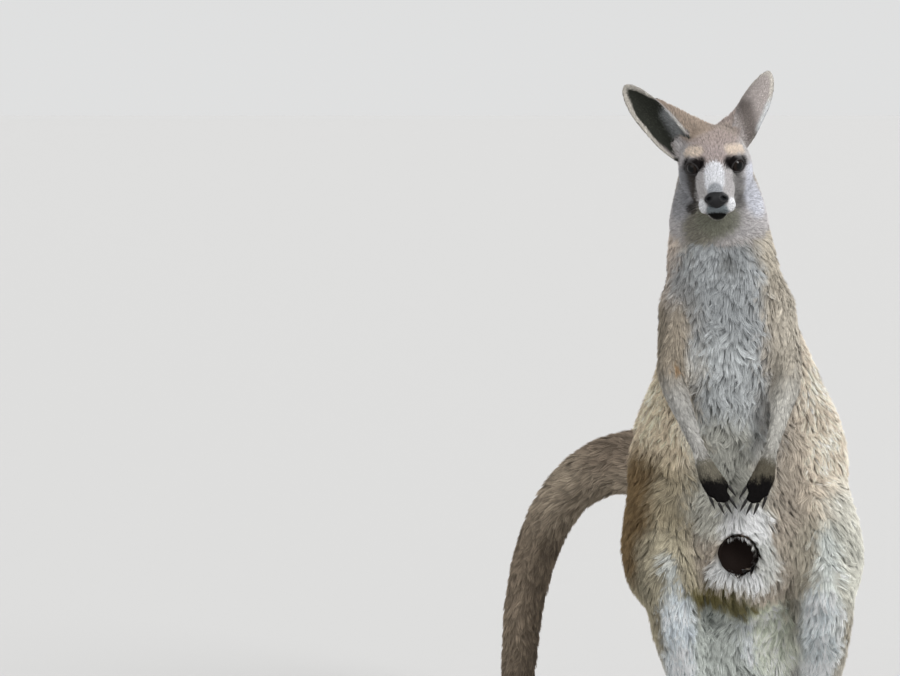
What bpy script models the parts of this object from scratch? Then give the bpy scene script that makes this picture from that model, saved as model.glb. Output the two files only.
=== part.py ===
"""A life-size still model of a female eastern grey kangaroo, standing upright on its hind feet with its tail bent down
to the ground beside it.

Metres, +Z up. The animal faces -Y and its left side is at +X. It is modelled round a point between its feet, and moved
at the end so that the origin is on the ground in the middle of the box around it. The flesh is modelled whole, as
lofted limbs joined by a fine remesh, and then parted into named pieces with cuts CUT_GAP wide. The surface is the outer
surface of the coat.
"""

from dataclasses import dataclass
from math import cos, pi, radians, sin, sqrt

import bmesh
import bpy
from mathutils import Matrix, Vector

CUT_GAP = 0.0004
RING_SIDES = 24
RING_STEP = 0.012

# Places of the main joints: (x, y, z) with x to the animal's left, y to its back and z up.
EYE_MIDPOINT = Vector((-0.0505, -0.100, 1.106))
HEAD_PITCH, HEAD_ROLL, HEAD_YAW = radians(17), radians(-3.8), radians(-4.5)
EYE_RADIUS = 0.0168
EYE_CENTRE, EYE_GAZE = Vector((0.0325, -0.0095, 0.0020)), Vector((0.62, -0.78, 0.04))  # the left eye, in the head's frame
SHOULDER = {"right": Vector((-0.109, -0.014, 0.866)), "left": Vector((0.065, -0.014, 0.862))}
ELBOW = {"right": Vector((-0.127, -0.084, 0.740)), "left": Vector((0.083, -0.084, 0.740))}
WRIST = {"right": Vector((-0.073, -0.140, 0.600)), "left": Vector((0.042, -0.140, 0.602))}
KNUCKLES = {"right": Vector((-0.050, -0.158, 0.548)), "left": Vector((0.026, -0.158, 0.552))}
HIP = {"right": Vector((-0.092, 0.105, 0.520)), "left": Vector((0.100, 0.105, 0.520))}
KNEE = {"right": Vector((-0.127, -0.110, 0.372)), "left": Vector((0.152, -0.110, 0.372))}
HEEL = {"right": Vector((-0.062, 0.120, 0.062)), "left": Vector((0.152, 0.120, 0.062))}
FOOT_TURN = {"right": radians(-5), "left": radians(7)}
SIDES = {"right": -1, "left": 1}


@dataclass
class Station:
    """One cross-section of a lofted limb: its centre and the half sizes across and along the section."""

    centre: Vector
    half_width: float
    half_depth: float


def stations(rows):
    """Stations from rows of (x, y, z, half_width, half_depth)."""
    return [Station(Vector(row[:3]), row[3], row[4]) for row in rows]


# ---------------------------------------------------------------- shared makers


def clear_scene():
    for obj in list(bpy.data.objects):
        bpy.data.objects.remove(obj)


def add_object(name, mesh):
    obj = bpy.data.objects.new(name, mesh)
    bpy.context.scene.collection.objects.link(obj)
    return obj


def finish_bmesh(bm, name):
    bmesh.ops.recalc_face_normals(bm, faces=bm.faces)
    mesh = bpy.data.meshes.new(name)
    bm.to_mesh(mesh)
    bm.free()
    return add_object(name, mesh)


def smooth_value(values, position):
    """Catmull-Rom interpolation of a list of numbers or vectors at a position counted in list steps."""
    last = len(values) - 1
    i = min(int(position), last - 1)
    t = position - i
    before = values[i - 1] if i > 0 else values[0] * 2 - values[1]
    after = values[i + 2] if i + 2 <= last else values[last] * 2 - values[last - 1]
    here, there = values[i], values[i + 1]
    return (
        here * 2
        + (there - before) * t
        + (before * 2 - here * 5 + there * 4 - after) * t * t
        + (here * 3 - before - there * 3 + after) * t**3
    ) * 0.5


def dense_sections(rows, step):
    """Sections close together along the smooth curve through the stations, with their travel directions."""
    centres = [s.centre for s in rows]
    widths = [s.half_width for s in rows]
    depths = [s.half_depth for s in rows]
    places = []
    for i in range(len(rows) - 1):
        count = max(1, round((centres[i + 1] - centres[i]).length / step))
        places += [i + k / count for k in range(count)]
    places.append(len(rows) - 1)
    found = []
    for place in places:
        a = smooth_value(centres, max(place - 0.05, 0))
        b = smooth_value(centres, min(place + 0.05, len(rows) - 1))
        found.append(
            (smooth_value(centres, place), smooth_value(widths, place), smooth_value(depths, place), (b - a).normalized())
        )
    return found


def loft(name, rows, across=Vector((1, 0, 0)), sides=RING_SIDES, step=RING_STEP, tip=0.8, shares=(0.93, 0.75, 0.45)):
    """A closed tube of elliptical sections with rounded ends. across is the width direction at the first section."""
    sections = dense_sections(rows, step)
    bm = bmesh.new()
    loops = []

    def ring(centre, width, depth, forward, lateral):
        basis = Matrix((lateral * width, forward.cross(lateral) * depth, forward)).transposed().to_4x4()
        made = bmesh.ops.create_circle(
            bm, segments=sides, radius=1.0, matrix=Matrix.Translation(centre) @ basis
        )
        loops.append(list({e for v in made["verts"] for e in v.link_edges}))
        return made["verts"]

    lateral = across
    frames = []
    for centre, width, depth, forward in sections:
        lateral = (lateral - forward * lateral.dot(forward)).normalized()
        frames.append((centre, max(width, 0.0005), max(depth, 0.0005), forward, lateral))
    first, last = frames[0], frames[-1]
    for share in shares:
        reach = tip * min(first[1], first[2]) * share
        size = sqrt(1 - share * share)
        ring(first[0] - first[3] * reach, first[1] * size, first[2] * size, first[3], first[4])
    for frame in frames:
        ring(*frame)
    for share in reversed(shares):
        reach = tip * min(last[1], last[2]) * share
        size = sqrt(1 - share * share)
        ring(last[0] + last[3] * reach, last[1] * size, last[2] * size, last[3], last[4])
    for one, other in zip(loops, loops[1:]):
        bmesh.ops.bridge_loops(bm, edges=one + other)
    for end in (loops[0], loops[-1]):
        bmesh.ops.contextual_create(bm, geom=end)
    bmesh.ops.triangulate(bm, faces=bm.faces, quad_method="FIXED")
    return finish_bmesh(bm, name)


def ellipsoid(name, centre, radii, turn=None, segments=24):
    """A closed ellipsoid, turned by a rotation matrix."""
    bm = bmesh.new()
    matrix = Matrix.Translation(centre) @ (turn or Matrix()).to_4x4() @ Matrix.Diagonal((*radii, 1))
    bmesh.ops.create_uvsphere(bm, u_segments=segments, v_segments=segments * 2 // 3, radius=1.0, matrix=matrix)
    return finish_bmesh(bm, name)


def box(name, centre, sizes, turn=None):
    """A closed box, turned by a rotation matrix."""
    bm = bmesh.new()
    matrix = Matrix.Translation(centre) @ (turn or Matrix()).to_4x4() @ Matrix.Diagonal((*sizes, 1))
    bmesh.ops.create_cube(bm, size=1.0, matrix=matrix)
    return finish_bmesh(bm, name)


def applied(obj):
    """The object with its modifiers applied."""
    bpy.context.view_layer.update()
    graph = bpy.context.evaluated_depsgraph_get()
    mesh = bpy.data.meshes.new_from_object(obj.evaluated_get(graph))
    obj.modifiers.clear()
    obj.data = mesh
    return obj


def modified(obj, kind, **settings):
    """Adds one modifier and applies it."""
    modifier = obj.modifiers.new(kind, kind)
    for key, value in settings.items():
        setattr(modifier, key, value)
    return applied(obj)


def cut(obj, cutter, operation="DIFFERENCE", keep_cutter=False):
    modified(obj, "BOOLEAN", operation=operation, solver="EXACT", object=cutter)
    if not keep_cutter:
        bpy.data.objects.remove(cutter)
    return obj


def joined(name, pieces):
    """One object holding the meshes of all the pieces, which are removed."""
    bm = bmesh.new()
    for piece in pieces:
        bm.from_mesh(piece.data)
        bpy.data.objects.remove(piece)
    mesh = bpy.data.meshes.new(name)
    bm.to_mesh(mesh)
    bm.free()
    return add_object(name, mesh)


def flesh(name, pieces, voxel, passes, triangles):
    """Overlapping closed pieces made one smooth closed body of about so many triangles."""
    body = joined(name, pieces)
    modified(body, "REMESH", mode="VOXEL", voxel_size=voxel, adaptivity=0.0)
    modified(body, "SMOOTH", factor=0.5, iterations=passes)
    modified(body, "TRIANGULATE")
    share = min(1.0, triangles / len(body.data.polygons))
    return modified(body, "DECIMATE", decimate_type="COLLAPSE", ratio=share, use_collapse_triangulate=True)


def duplicate(obj, name):
    return add_object(name, obj.data.copy())


def part_off(name, whole, region, grown):
    """Takes what lies inside region off whole, as a piece of its own, and leaves a gap round it."""
    piece = duplicate(whole, name)
    cut(piece, region, "INTERSECT")
    cut(whole, grown)
    return piece


def slab_region(centre, outwards, reach, width, extra=0.0):
    """A box whose one face passes through centre, facing against outwards, and which reaches outwards from there."""
    turn = outwards.to_track_quat("Z", "Y").to_matrix()
    middle = centre + outwards * (reach / 2 - extra)
    return box("region", middle, (width, width, reach), turn)


def part_off_beyond(name, whole, centre, outwards, reach, width):
    """Parts off what lies beyond a plane, within a box of that width and reach."""
    outwards = outwards.normalized()
    return part_off(
        name,
        whole,
        slab_region(centre, outwards, reach, width),
        slab_region(centre, outwards, reach, width + 2 * CUT_GAP, CUT_GAP),
    )


# ---------------------------------------------------------------- body


def trunk_lofts():
    """The trunk leans forward from the rump to the shoulders. The full pouch hangs in front and down between the legs."""
    spine = stations(
        [
            (0.022, 0.095, 0.305, 0.088, 0.078),
            (0.010, 0.097, 0.400, 0.140, 0.124),
            (0.006, 0.100, 0.480, 0.186, 0.145),
            (0.004, 0.078, 0.570, 0.201, 0.147),
            (-0.001, 0.052, 0.650, 0.184, 0.134),
            (-0.006, 0.027, 0.730, 0.150, 0.119),
            (-0.014, 0.008, 0.805, 0.124, 0.106),
            (-0.020, -0.006, 0.870, 0.106, 0.093),
            (-0.029, -0.012, 0.925, 0.100, 0.082),
        ]
    )
    lap = stations(
        [
            (0.014, 0.030, 0.345, 0.125, 0.080),
            (0.014, 0.034, 0.270, 0.127, 0.078),
            (0.018, 0.048, 0.205, 0.112, 0.070),
            (0.020, 0.066, 0.155, 0.080, 0.046),
        ]
    )
    return [
        loft("spine", spine),
        loft("lap", lap),
        ellipsoid("pouch", Vector((0.006, -0.008, 0.435)), (0.118, 0.118, 0.145)),
        ellipsoid("rump", Vector((0.000, 0.155, 0.480)), (0.135, 0.103, 0.108)),
    ]


def neck_lofts():
    spine = stations(
        [
            (-0.026, -0.004, 0.880, 0.106, 0.090),
            (-0.034, -0.010, 0.945, 0.098, 0.080),
            (-0.038, -0.014, 1.000, 0.090, 0.072),
            (-0.041, -0.022, 1.045, 0.080, 0.066),
            (-0.045, -0.032, 1.085, 0.068, 0.060),
        ]
    )
    return [loft("neck", spine)]


def tail_stations():
    return stations(
        [
            (-0.010, 0.150, 0.500, 0.105, 0.105),
            (-0.062, 0.235, 0.528, 0.082, 0.082),
            (-0.137, 0.302, 0.547, 0.069, 0.069),
            (-0.212, 0.345, 0.540, 0.059, 0.059),
            (-0.280, 0.370, 0.497, 0.0515, 0.0515),
            (-0.325, 0.384, 0.430, 0.0465, 0.0465),
            (-0.353, 0.392, 0.350, 0.0430, 0.0430),
            (-0.370, 0.398, 0.268, 0.0400, 0.0400),
            (-0.378, 0.406, 0.186, 0.0365, 0.0365),
            (-0.380, 0.424, 0.108, 0.0335, 0.0335),
            (-0.374, 0.470, 0.044, 0.0310, 0.0310),
            (-0.362, 0.540, 0.024, 0.0280, 0.0290),
            (-0.350, 0.610, 0.019, 0.0235, 0.0240),
            (-0.343, 0.670, 0.013, 0.0165, 0.0170),
        ]
    )


def tail_loft():
    return loft("tail", tail_stations(), sides=20)


def arm_stations(side):
    """Stations of the upper arm and of the forearm."""
    shoulder, elbow, wrist = SHOULDER[side], ELBOW[side], WRIST[side]
    upper = [
        Station(shoulder + Vector((-SIDES[side] * 0.022, 0.010, 0.026)), 0.033, 0.048),
        Station(shoulder, 0.034, 0.048),
        Station(shoulder.lerp(elbow, 0.5), 0.0300, 0.038),
        Station(elbow + Vector((0, 0.006, 0.004)), 0.0255, 0.0290),
    ]
    lower = [
        Station(elbow + Vector((0, 0.002, 0.016)), 0.024, 0.027),
        Station(elbow.lerp(wrist, 0.14), 0.0255, 0.0275),
        Station(elbow.lerp(wrist, 0.42), 0.0200, 0.0220),
        Station(elbow.lerp(wrist, 0.75), 0.0155, 0.0165),
        Station(wrist, 0.0150, 0.0150),
        Station(wrist.lerp(KNUCKLES[side], 0.35), 0.0165, 0.0145),
    ]
    return upper, lower


def arm_lofts(side):
    upper, lower = arm_stations(side)
    return [loft(f"upper_{side}", upper, sides=18), loft(f"lower_{side}", lower, sides=18)]


def shin_stations(side):
    knee, heel = KNEE[side], HEEL[side]
    return [
        Station(knee + Vector((0, 0.020, 0.020)), 0.047, 0.052),
        Station(knee.lerp(heel, 0.16), 0.048, 0.057),
        Station(knee.lerp(heel, 0.36), 0.043, 0.053),
        Station(knee.lerp(heel, 0.56), 0.034, 0.043),
        Station(knee.lerp(heel, 0.76), 0.0260, 0.0315),
        Station(knee.lerp(heel, 0.92), 0.0225, 0.0265),
        Station(heel + Vector((0, 0.004, -0.004)), 0.0225, 0.0270),
    ]


def thigh_lofts(side):
    hip, knee, heel = HIP[side], KNEE[side], HEEL[side]
    out = Vector((SIDES[side], 0, 0))
    haunch = [
        Station(hip + Vector((0, 0.035, 0.060)), 0.060, 0.075),
        Station(hip + out * 0.010 + Vector((0, 0.010, 0.010)), 0.084, 0.118),
        Station(hip.lerp(knee, 0.45) + out * 0.018 + Vector((0, 0.006, -0.020)), 0.083, 0.122),
        Station(hip.lerp(knee, 0.80) + out * 0.008 + Vector((0, 0.004, -0.012)), 0.064, 0.084),
        Station(knee + Vector((0, -0.002, 0)), 0.047, 0.052),
    ]
    ham = [
        Station(hip - out * 0.012 + Vector((0, 0.060, -0.060)), 0.076, 0.086),
        Station(hip - out * 0.012 + Vector((0, 0.028, -0.145)), 0.074, 0.082),
        Station(knee.lerp(heel, 0.25) + Vector((0, 0.136, 0)) - out * 0.014, 0.061, 0.062),
        Station(knee.lerp(heel, 0.50) + Vector((0, 0.048, 0)) - out * 0.012, 0.044, 0.045),
        Station(knee.lerp(heel, 0.72) + Vector((0, 0.016, 0)) - out * 0.002, 0.0280, 0.0310),
    ]
    crook = knee.lerp(heel, 0.20) + Vector((0, 0.075, 0.010))
    return [
        loft(f"haunch_{side}", haunch),
        loft(f"ham_{side}", ham),
        ellipsoid(f"crook_{side}", crook, (0.042, 0.050, 0.050)),
    ]


def shin_loft(side):
    return loft(f"shin_{side}", shin_stations(side), sides=20)


def widened(rows, margin, start=0, stop=None):
    """Some of the stations with margin added all round."""
    return [Station(s.centre, s.half_width + margin, s.half_depth + margin) for s in rows[start:stop]]


def limb_regions(rows, margin):
    """The space round a limb, and the same space with the width of a cut added."""
    space, wider = widened(rows, margin), widened(rows, margin + CUT_GAP)
    return loft("region", space, sides=12, step=0.05), loft("grown", wider, sides=12, step=0.05)


def foot_matrix(side):
    """Carries the foot's own frame, heel at the origin and toes along -Y, to its place on the ground."""
    place = Vector((HEEL[side].x, HEEL[side].y, 0))
    return Matrix.Translation(place) @ Matrix.Rotation(FOOT_TURN[side], 4, "Z") @ Matrix.Diagonal((SIDES[side], 1, 1, 1))


def placed(obj, matrix):
    obj.data.transform(matrix)
    if matrix.determinant() < 0:
        obj.data.flip_normals()
    return obj


def foot_lofts(side):
    """A long narrow foot. The large fourth toe carries on its line, with the fifth outside and the joined two inside."""
    matrix = foot_matrix(side)
    sole = stations(
        [
            (0.000, 0.024, 0.022, 0.0195, 0.0240),
            (0.000, 0.000, 0.026, 0.0225, 0.0290),
            (0.000, -0.045, 0.023, 0.0215, 0.0255),
            (0.001, -0.100, 0.020, 0.0235, 0.0228),
            (0.003, -0.150, 0.0165, 0.0290, 0.0198),
            (0.004, -0.185, 0.0135, 0.0270, 0.0168),
        ]
    )
    fourth = stations(
        [
            (0.002, -0.130, 0.0160, 0.0190, 0.0180),
            (0.002, -0.170, 0.0145, 0.0175, 0.0168),
            (0.003, -0.205, 0.0130, 0.0160, 0.0152),
            (0.003, -0.240, 0.0115, 0.0145, 0.0137),
            (0.003, -0.262, 0.0100, 0.0112, 0.0112),
        ]
    )
    fifth = stations(
        [
            (0.018, -0.150, 0.0120, 0.0120, 0.0125),
            (0.025, -0.180, 0.0115, 0.0115, 0.0115),
            (0.029, -0.204, 0.0100, 0.0095, 0.0100),
        ]
    )
    inner = stations(
        [
            (-0.014, -0.145, 0.0120, 0.0105, 0.0120),
            (-0.019, -0.175, 0.0110, 0.0095, 0.0105),
            (-0.021, -0.196, 0.0095, 0.0085, 0.0090),
        ]
    )
    made = [loft(f"{name}_{side}", rows, sides=16, step=0.008) for name, rows in
            (("sole", sole), ("fourth", fourth), ("fifth", fifth), ("inner", inner))]
    return [placed(obj, matrix) for obj in made]


def foot_claw_rows():
    """Claws of one foot in its own frame: name and stations."""
    def claw(x, y, z, length, radius, turn=0.0):
        steps = ((0.0, 1.0, 0.0), (0.35, 0.88, 0.03), (0.7, 0.58, 0.01), (1.0, 0.16, -0.10))
        return [
            (x + turn * t * length, y - t * length, z + drop * length, radius * share, radius * 1.1 * share)
            for t, share, drop in steps
        ]
    return {
        "4": claw(0.003, -0.258, 0.0128, 0.045, 0.0064),
        "5": claw(0.0285, -0.202, 0.0112, 0.026, 0.0045, 0.15),
        "3": claw(-0.0175, -0.196, 0.0106, 0.016, 0.0029, -0.05),
        "2": claw(-0.0248, -0.195, 0.0102, 0.015, 0.0028, -0.12),
    }


# ---------------------------------------------------------------- head


def head_matrix():
    """Carries the head's own frame, origin midway between the eyes and muzzle along -Y, to its place."""
    turn = Matrix.Rotation(HEAD_YAW, 4, "Z") @ Matrix.Rotation(HEAD_ROLL, 4, "Y") @ Matrix.Rotation(HEAD_PITCH, 4, "X")
    return Matrix.Translation(EYE_MIDPOINT) @ turn


def head_lofts():
    """Skull, cheeks, eye sockets, lips, nose and chin, in the head's own frame and then put in place."""
    skull = stations(
        [
            (0, 0.088, -0.040, 0.042, 0.040),
            (0, 0.064, -0.013, 0.054, 0.054),
            (0, 0.034, 0.000, 0.057, 0.059),
            (0, 0.004, -0.010, 0.0490, 0.0490),
            (0, -0.024, -0.0225, 0.0370, 0.0390),
            (0, -0.048, -0.0300, 0.0325, 0.0335),
            (0, -0.070, -0.0355, 0.0285, 0.0285),
            (0, -0.084, -0.0380, 0.0255, 0.0235),
        ]
    )
    jaw = stations(
        [
            (0, 0.045, -0.047, 0.046, 0.028),
            (0, 0.010, -0.057, 0.038, 0.023),
            (0, -0.030, -0.0610, 0.0280, 0.0175),
            (0, -0.060, -0.0630, 0.0205, 0.0135),
            (0, -0.078, -0.0640, 0.0160, 0.0105),
        ]
    )
    pieces = [loft("skull", skull, step=0.006), loft("jaw", jaw, step=0.006)]
    pieces += [
        ellipsoid("nose", Vector((0, -0.0885, -0.0285)), (0.0215, 0.0150, 0.0162)),
        ellipsoid("chin", Vector((0, -0.0760, -0.0655)), (0.0150, 0.0155, 0.0095)),
        ellipsoid("throat", Vector((0, 0.034, -0.066)), (0.040, 0.044, 0.030)),
        ellipsoid("forehead", Vector((0, 0.016, 0.0270)), (0.034, 0.038, 0.020), Matrix.Rotation(radians(28), 3, "X")),
    ]
    for side in SIDES.values():
        gaze = Vector((side * EYE_GAZE.x, EYE_GAZE.y, EYE_GAZE.z)).normalized()
        eye = Vector((side * EYE_CENTRE.x, EYE_CENTRE.y, EYE_CENTRE.z))
        pieces += [
            ellipsoid(f"cheek{side}", Vector((side * 0.0385, 0.034, -0.020)), (0.0275, 0.048, 0.046)),
            ellipsoid(f"jowl{side}", Vector((side * 0.030, 0.024, -0.045)), (0.0225, 0.048, 0.0240)),
            ellipsoid(f"orbit{side}", eye - gaze * 0.0042, (0.0194,) * 3),
            ellipsoid(
                f"brow{side}", Vector((side * 0.0300, 0.003, 0.0195)), (0.0170, 0.0220, 0.0080),
                Matrix.Rotation(side * radians(-28), 3, "Z") @ Matrix.Rotation(radians(18), 3, "X"),
            ),
            ellipsoid(f"lip{side}", Vector((side * 0.0160, -0.0750, -0.0480)), (0.0175, 0.0225, 0.0145)),
            ellipsoid(f"nostril{side}", Vector((side * 0.0132, -0.0900, -0.0290)), (0.0096, 0.0108, 0.0108)),
        ]
    placed_pieces = [placed(obj, head_matrix()) for obj in pieces]
    for side, pose in EARS.items():
        along = (pose.tip - pose.root).normalized()
        inwards = Vector((EYE_MIDPOINT.x, -0.03, pose.root.z - 0.02)) - pose.root
        root = [
            Station(pose.root + inwards * 0.66 - along * 0.016, 0.030, 0.034),
            Station(pose.root + inwards * 0.30 - along * 0.014, 0.0275, 0.0290),
            Station(pose.root - along * 0.012, 0.0250, 0.0255),
            Station(pose.root + along * 0.004, 0.0150, 0.0150),
        ]
        placed_pieces.append(loft(f"ear_root_{side}", root, sides=16, step=0.006))
        placed_pieces.append(loft(f"ear_fold_{side}", stations(EAR_FOLDS[side]), sides=16, step=0.006))
    return placed_pieces


@dataclass
class EarPose:
    """Where an ear stands: its root, its tip and the way its hollow faces."""

    root: Vector
    tip: Vector
    opening: Vector


EARS = {
    "right": EarPose(Vector((-0.1040, -0.044, 1.138)), Vector((-0.2080, -0.046, 1.240)), Vector((-0.20, -1.0, -0.15))),
    "left": EarPose(Vector((-0.0160, -0.040, 1.154)), Vector((0.0545, 0.016, 1.259)), Vector((0.30, 0.95, -0.55))),
}
# The fleshy fold that carries the inner edge of each ear up from the crown.
EAR_FOLDS = {
    "right": [
        (-0.0600, -0.0340, 1.1500, 0.0290, 0.0270),
        (-0.0850, -0.0390, 1.1680, 0.0230, 0.0210),
        (-0.1100, -0.0415, 1.1880, 0.0165, 0.0150),
        (-0.1340, -0.0430, 1.2065, 0.0105, 0.0095),
        (-0.1490, -0.0440, 1.2190, 0.0060, 0.0055),
    ],
    "left": [
        (-0.0340, -0.0280, 1.1560, 0.0240, 0.0220),
        (-0.0220, -0.0170, 1.1740, 0.0165, 0.0150),
        (-0.0100, -0.0085, 1.1910, 0.0104, 0.0090),
        (-0.0040, -0.0020, 1.2020, 0.0058, 0.0048),
    ],
}
EAR_THICKNESS = 0.0052
EAR_ROWS, EAR_COLUMNS = 10, 6
# Share of the length, half the unrolled width, and half the angle that the width curls through.
EAR_PROFILE = [
    (-0.14, 0.0440, 2.20),
    (0.00, 0.0465, 1.95),
    (0.18, 0.0420, 1.50),
    (0.40, 0.0365, 1.20),
    (0.62, 0.0325, 1.00),
    (0.80, 0.0248, 0.86),
    (0.92, 0.0160, 0.76),
    (0.98, 0.0090, 0.70),
    (1.00, 0.0035, 0.70),
]


def profile_at(share):
    """Half width and half curl of the ear at a share of its length."""
    for (s0, w0, c0), (s1, w1, c1) in zip(EAR_PROFILE, EAR_PROFILE[1:]):
        if share <= s1:
            t = (share - s0) / (s1 - s0)
            return w0 + (w1 - w0) * t, c0 + (c1 - c0) * t
    return EAR_PROFILE[-1][1:]


def make_ear(side, extra=0.0):
    """A scoop that is almost a tube at its root and opens to a shallow cup, one wall thick, grown by extra all round."""
    pose = EARS[side]
    length = (pose.tip - pose.root).length
    along = (pose.tip - pose.root).normalized()
    opening = (pose.opening - along * pose.opening.dot(along)).normalized()
    across = opening.cross(along)
    bm = bmesh.new()
    bmesh.ops.create_grid(bm, x_segments=EAR_COLUMNS, y_segments=EAR_ROWS, size=1.0)
    first, last = EAR_PROFILE[0][0], EAR_PROFILE[-1][0]
    for vertex in bm.verts:
        v, u = vertex.co.x, (vertex.co.y + 1) / 2
        share = first + (last - first) * (1 - (1 - max(u, 0)) ** 1.25)
        half_width, half_curl = profile_at(share)
        radius = half_width / half_curl
        angle = v * half_curl + (extra / radius * v if abs(v) > 0.999 else 0)
        if not 0.001 < u < 0.999:
            share += extra / length * (1 if u > 0.5 else -1)
        lean = 0.010 * share * share
        vertex.co = (
            pose.root
            + along * (share * length)
            + across * (radius * sin(angle))
            + opening * (radius * (1 - cos(angle)) - lean - 0.006)
        )
    ear = finish_bmesh(bm, f"ear_{side}")
    modified(ear, "TRIANGULATE", quad_method="FIXED")
    return modified(ear, "SOLIDIFY", thickness=EAR_THICKNESS + 2 * extra, offset=0.0, use_even_offset=False)


def grown(obj, name, distance):
    """A copy of a small closed piece with its surface moved outwards."""
    copy = duplicate(obj, name)
    bm = bmesh.new()
    bm.from_mesh(copy.data)
    bm.normal_update()
    moves = {v: v.normal * distance * max(v.calc_shell_factor(), 1.0) for v in bm.verts}
    for vertex, move in moves.items():
        vertex.co += move
    bm.to_mesh(copy.data)
    bm.free()
    return copy


def make_eye(side, head):
    """An eyeball in its socket, standing a little proud of the coat round it."""
    centre = head_matrix() @ Vector((SIDES[side] * EYE_CENTRE.x, EYE_CENTRE.y, EYE_CENTRE.z))
    eye = ellipsoid(f"eye_{side}", centre, (EYE_RADIUS,) * 3, segments=12)
    socket = ellipsoid("socket", centre, (EYE_RADIUS + 1.5 * CUT_GAP,) * 3, segments=12)
    cut(head, socket)
    return eye


# ---------------------------------------------------------------- hands


def hand_matrix(side):
    """Carries the hand's own frame, wrist at the origin, digits along -Z, back of the hand to -Y, to its place."""
    wrist, knuckles = WRIST[side], KNUCKLES[side]
    down = (knuckles - wrist).normalized()
    across = Vector((1, 0, 0))
    across = (across - down * across.dot(down)).normalized()
    back = down.cross(across)
    basis = Matrix((across * SIDES[side], back * -1, down * -1)).transposed().to_4x4()
    return Matrix.Translation(wrist) @ basis


# Digits of the hand from the inner one out: where each starts across the knuckles, how far it splays, its length.
DIGITS = {"1": (-0.0152, -0.20, 0.030), "2": (-0.0082, -0.10, 0.040), "3": (0.0000, 0.01, 0.044),
          "4": (0.0082, 0.11, 0.040), "5": (0.0152, 0.22, 0.031)}
DIGIT_TURN_IN = 0.18
PALM_LENGTH = 0.044
DIGIT_RADIUS, HAND_CLAW_RADIUS, HAND_CLAW_LENGTH = 0.0054, 0.0034, 0.021


def digit_line(number, share):
    """A point along a digit and its claw, in the hand's own frame: share 1 is the end of the flesh."""
    start, splay, length = DIGITS[number]
    bend = 0.0045 * share * share
    drop = {"1": 0.012, "5": 0.007}.get(number, 0.0)
    run = share * length
    return Vector((start + (splay * 0.6 - DIGIT_TURN_IN) * run, bend, -PALM_LENGTH + drop - run))


def hand_lofts(side):
    matrix = hand_matrix(side)
    palm = stations(
        [
            (0.000, 0.000, 0.026, 0.0150, 0.0150),
            (0.000, 0.000, 0.000, 0.0155, 0.0142),
            (0.000, 0.001, -0.018, 0.0185, 0.0125),
            (0.000, 0.002, -0.034, 0.0205, 0.0115),
            (0.000, 0.002, -0.043, 0.0190, 0.0095),
        ]
    )
    pieces = [loft(f"palm_{side}", palm, sides=18, step=0.006)]
    for number in DIGITS:
        rows = [
            Station(digit_line(number, -0.25), DIGIT_RADIUS * 1.15, DIGIT_RADIUS * 1.15),
            Station(digit_line(number, 0.45), DIGIT_RADIUS, DIGIT_RADIUS),
            Station(digit_line(number, 0.95), DIGIT_RADIUS * 0.84, DIGIT_RADIUS * 0.84),
        ]
        pieces.append(loft(f"digit_{number}_{side}", rows, sides=12, step=0.004))
    return [placed(obj, matrix) for obj in pieces]


def make_hand_claws(side):
    """Five long curved claws."""
    claws = []
    for number, (_, _, length) in DIGITS.items():
        reach = HAND_CLAW_LENGTH / length
        rows = []
        for t, share in ((-0.05, 0.95), (0.25, 1.0), (0.6, 0.72), (1.0, 0.14)):
            point = digit_line(number, 0.93 + reach * t) + Vector((0, 0.0035 * t * t - 0.0004, 0))
            rows.append(Station(point, HAND_CLAW_RADIUS * share, HAND_CLAW_RADIUS * 1.25 * share))
        claw = loft(f"claw_hand_{side}_{number}", rows, sides=6, step=0.02, shares=())
        claws.append(placed(claw, hand_matrix(side)))
    return claws


def make_foot_claws(side):
    claws = []
    for number, rows in foot_claw_rows().items():
        claw = loft(f"claw_foot_{side}_{number}", stations(rows), sides=6, step=0.03, shares=())
        claws.append(placed(claw, foot_matrix(side)))
    return claws


def socketed(flesh_piece, insert):
    """Sinks a hole a little larger than the insert into the flesh."""
    return cut(flesh_piece, grown(insert, "hole", CUT_GAP))


# ---------------------------------------------------------------- colours


FINISHES = {
    "head": ((0.36, 0.30, 0.26), 0.95),
    "ear": ((0.20, 0.17, 0.16), 0.95),
    "eye": ((0.010, 0.007, 0.006), 0.08),
    "neck": ((0.46, 0.41, 0.37), 0.95),
    "trunk": ((0.52, 0.48, 0.44), 0.95),
    "upper": ((0.34, 0.28, 0.23), 0.95),
    "forearm": ((0.45, 0.41, 0.38), 0.95),
    "hand": ((0.16, 0.13, 0.12), 0.90),
    "thigh": ((0.44, 0.38, 0.31), 0.95),
    "shin": ((0.55, 0.50, 0.44), 0.95),
    "foot": ((0.30, 0.25, 0.21), 0.90),
    "tail": ((0.30, 0.26, 0.23), 0.95),
    "claw": ((0.018, 0.016, 0.015), 0.35),
}


def make_material(name, colour, roughness):
    material = bpy.data.materials.new(name)
    material.use_nodes = True
    shader = material.node_tree.nodes["Principled BSDF"]
    shader.inputs["Base Color"].default_value = (*colour, 1)
    shader.inputs["Roughness"].default_value = roughness
    shader.inputs["Metallic"].default_value = 0.0
    return material


def dress_all():
    """Gives each piece a material of its own, in the finish that its name's first word calls for."""
    for obj in bpy.data.objects:
        finish = FINISHES[obj.name.split("_")[0]]
        obj.data.materials.clear()
        obj.data.materials.append(make_material(f"{obj.name}_finish", *finish))
        obj.data.shade_smooth()
        obj.data.set_sharp_from_angle(angle=radians(50))


# ---------------------------------------------------------------- the whole animal

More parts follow.
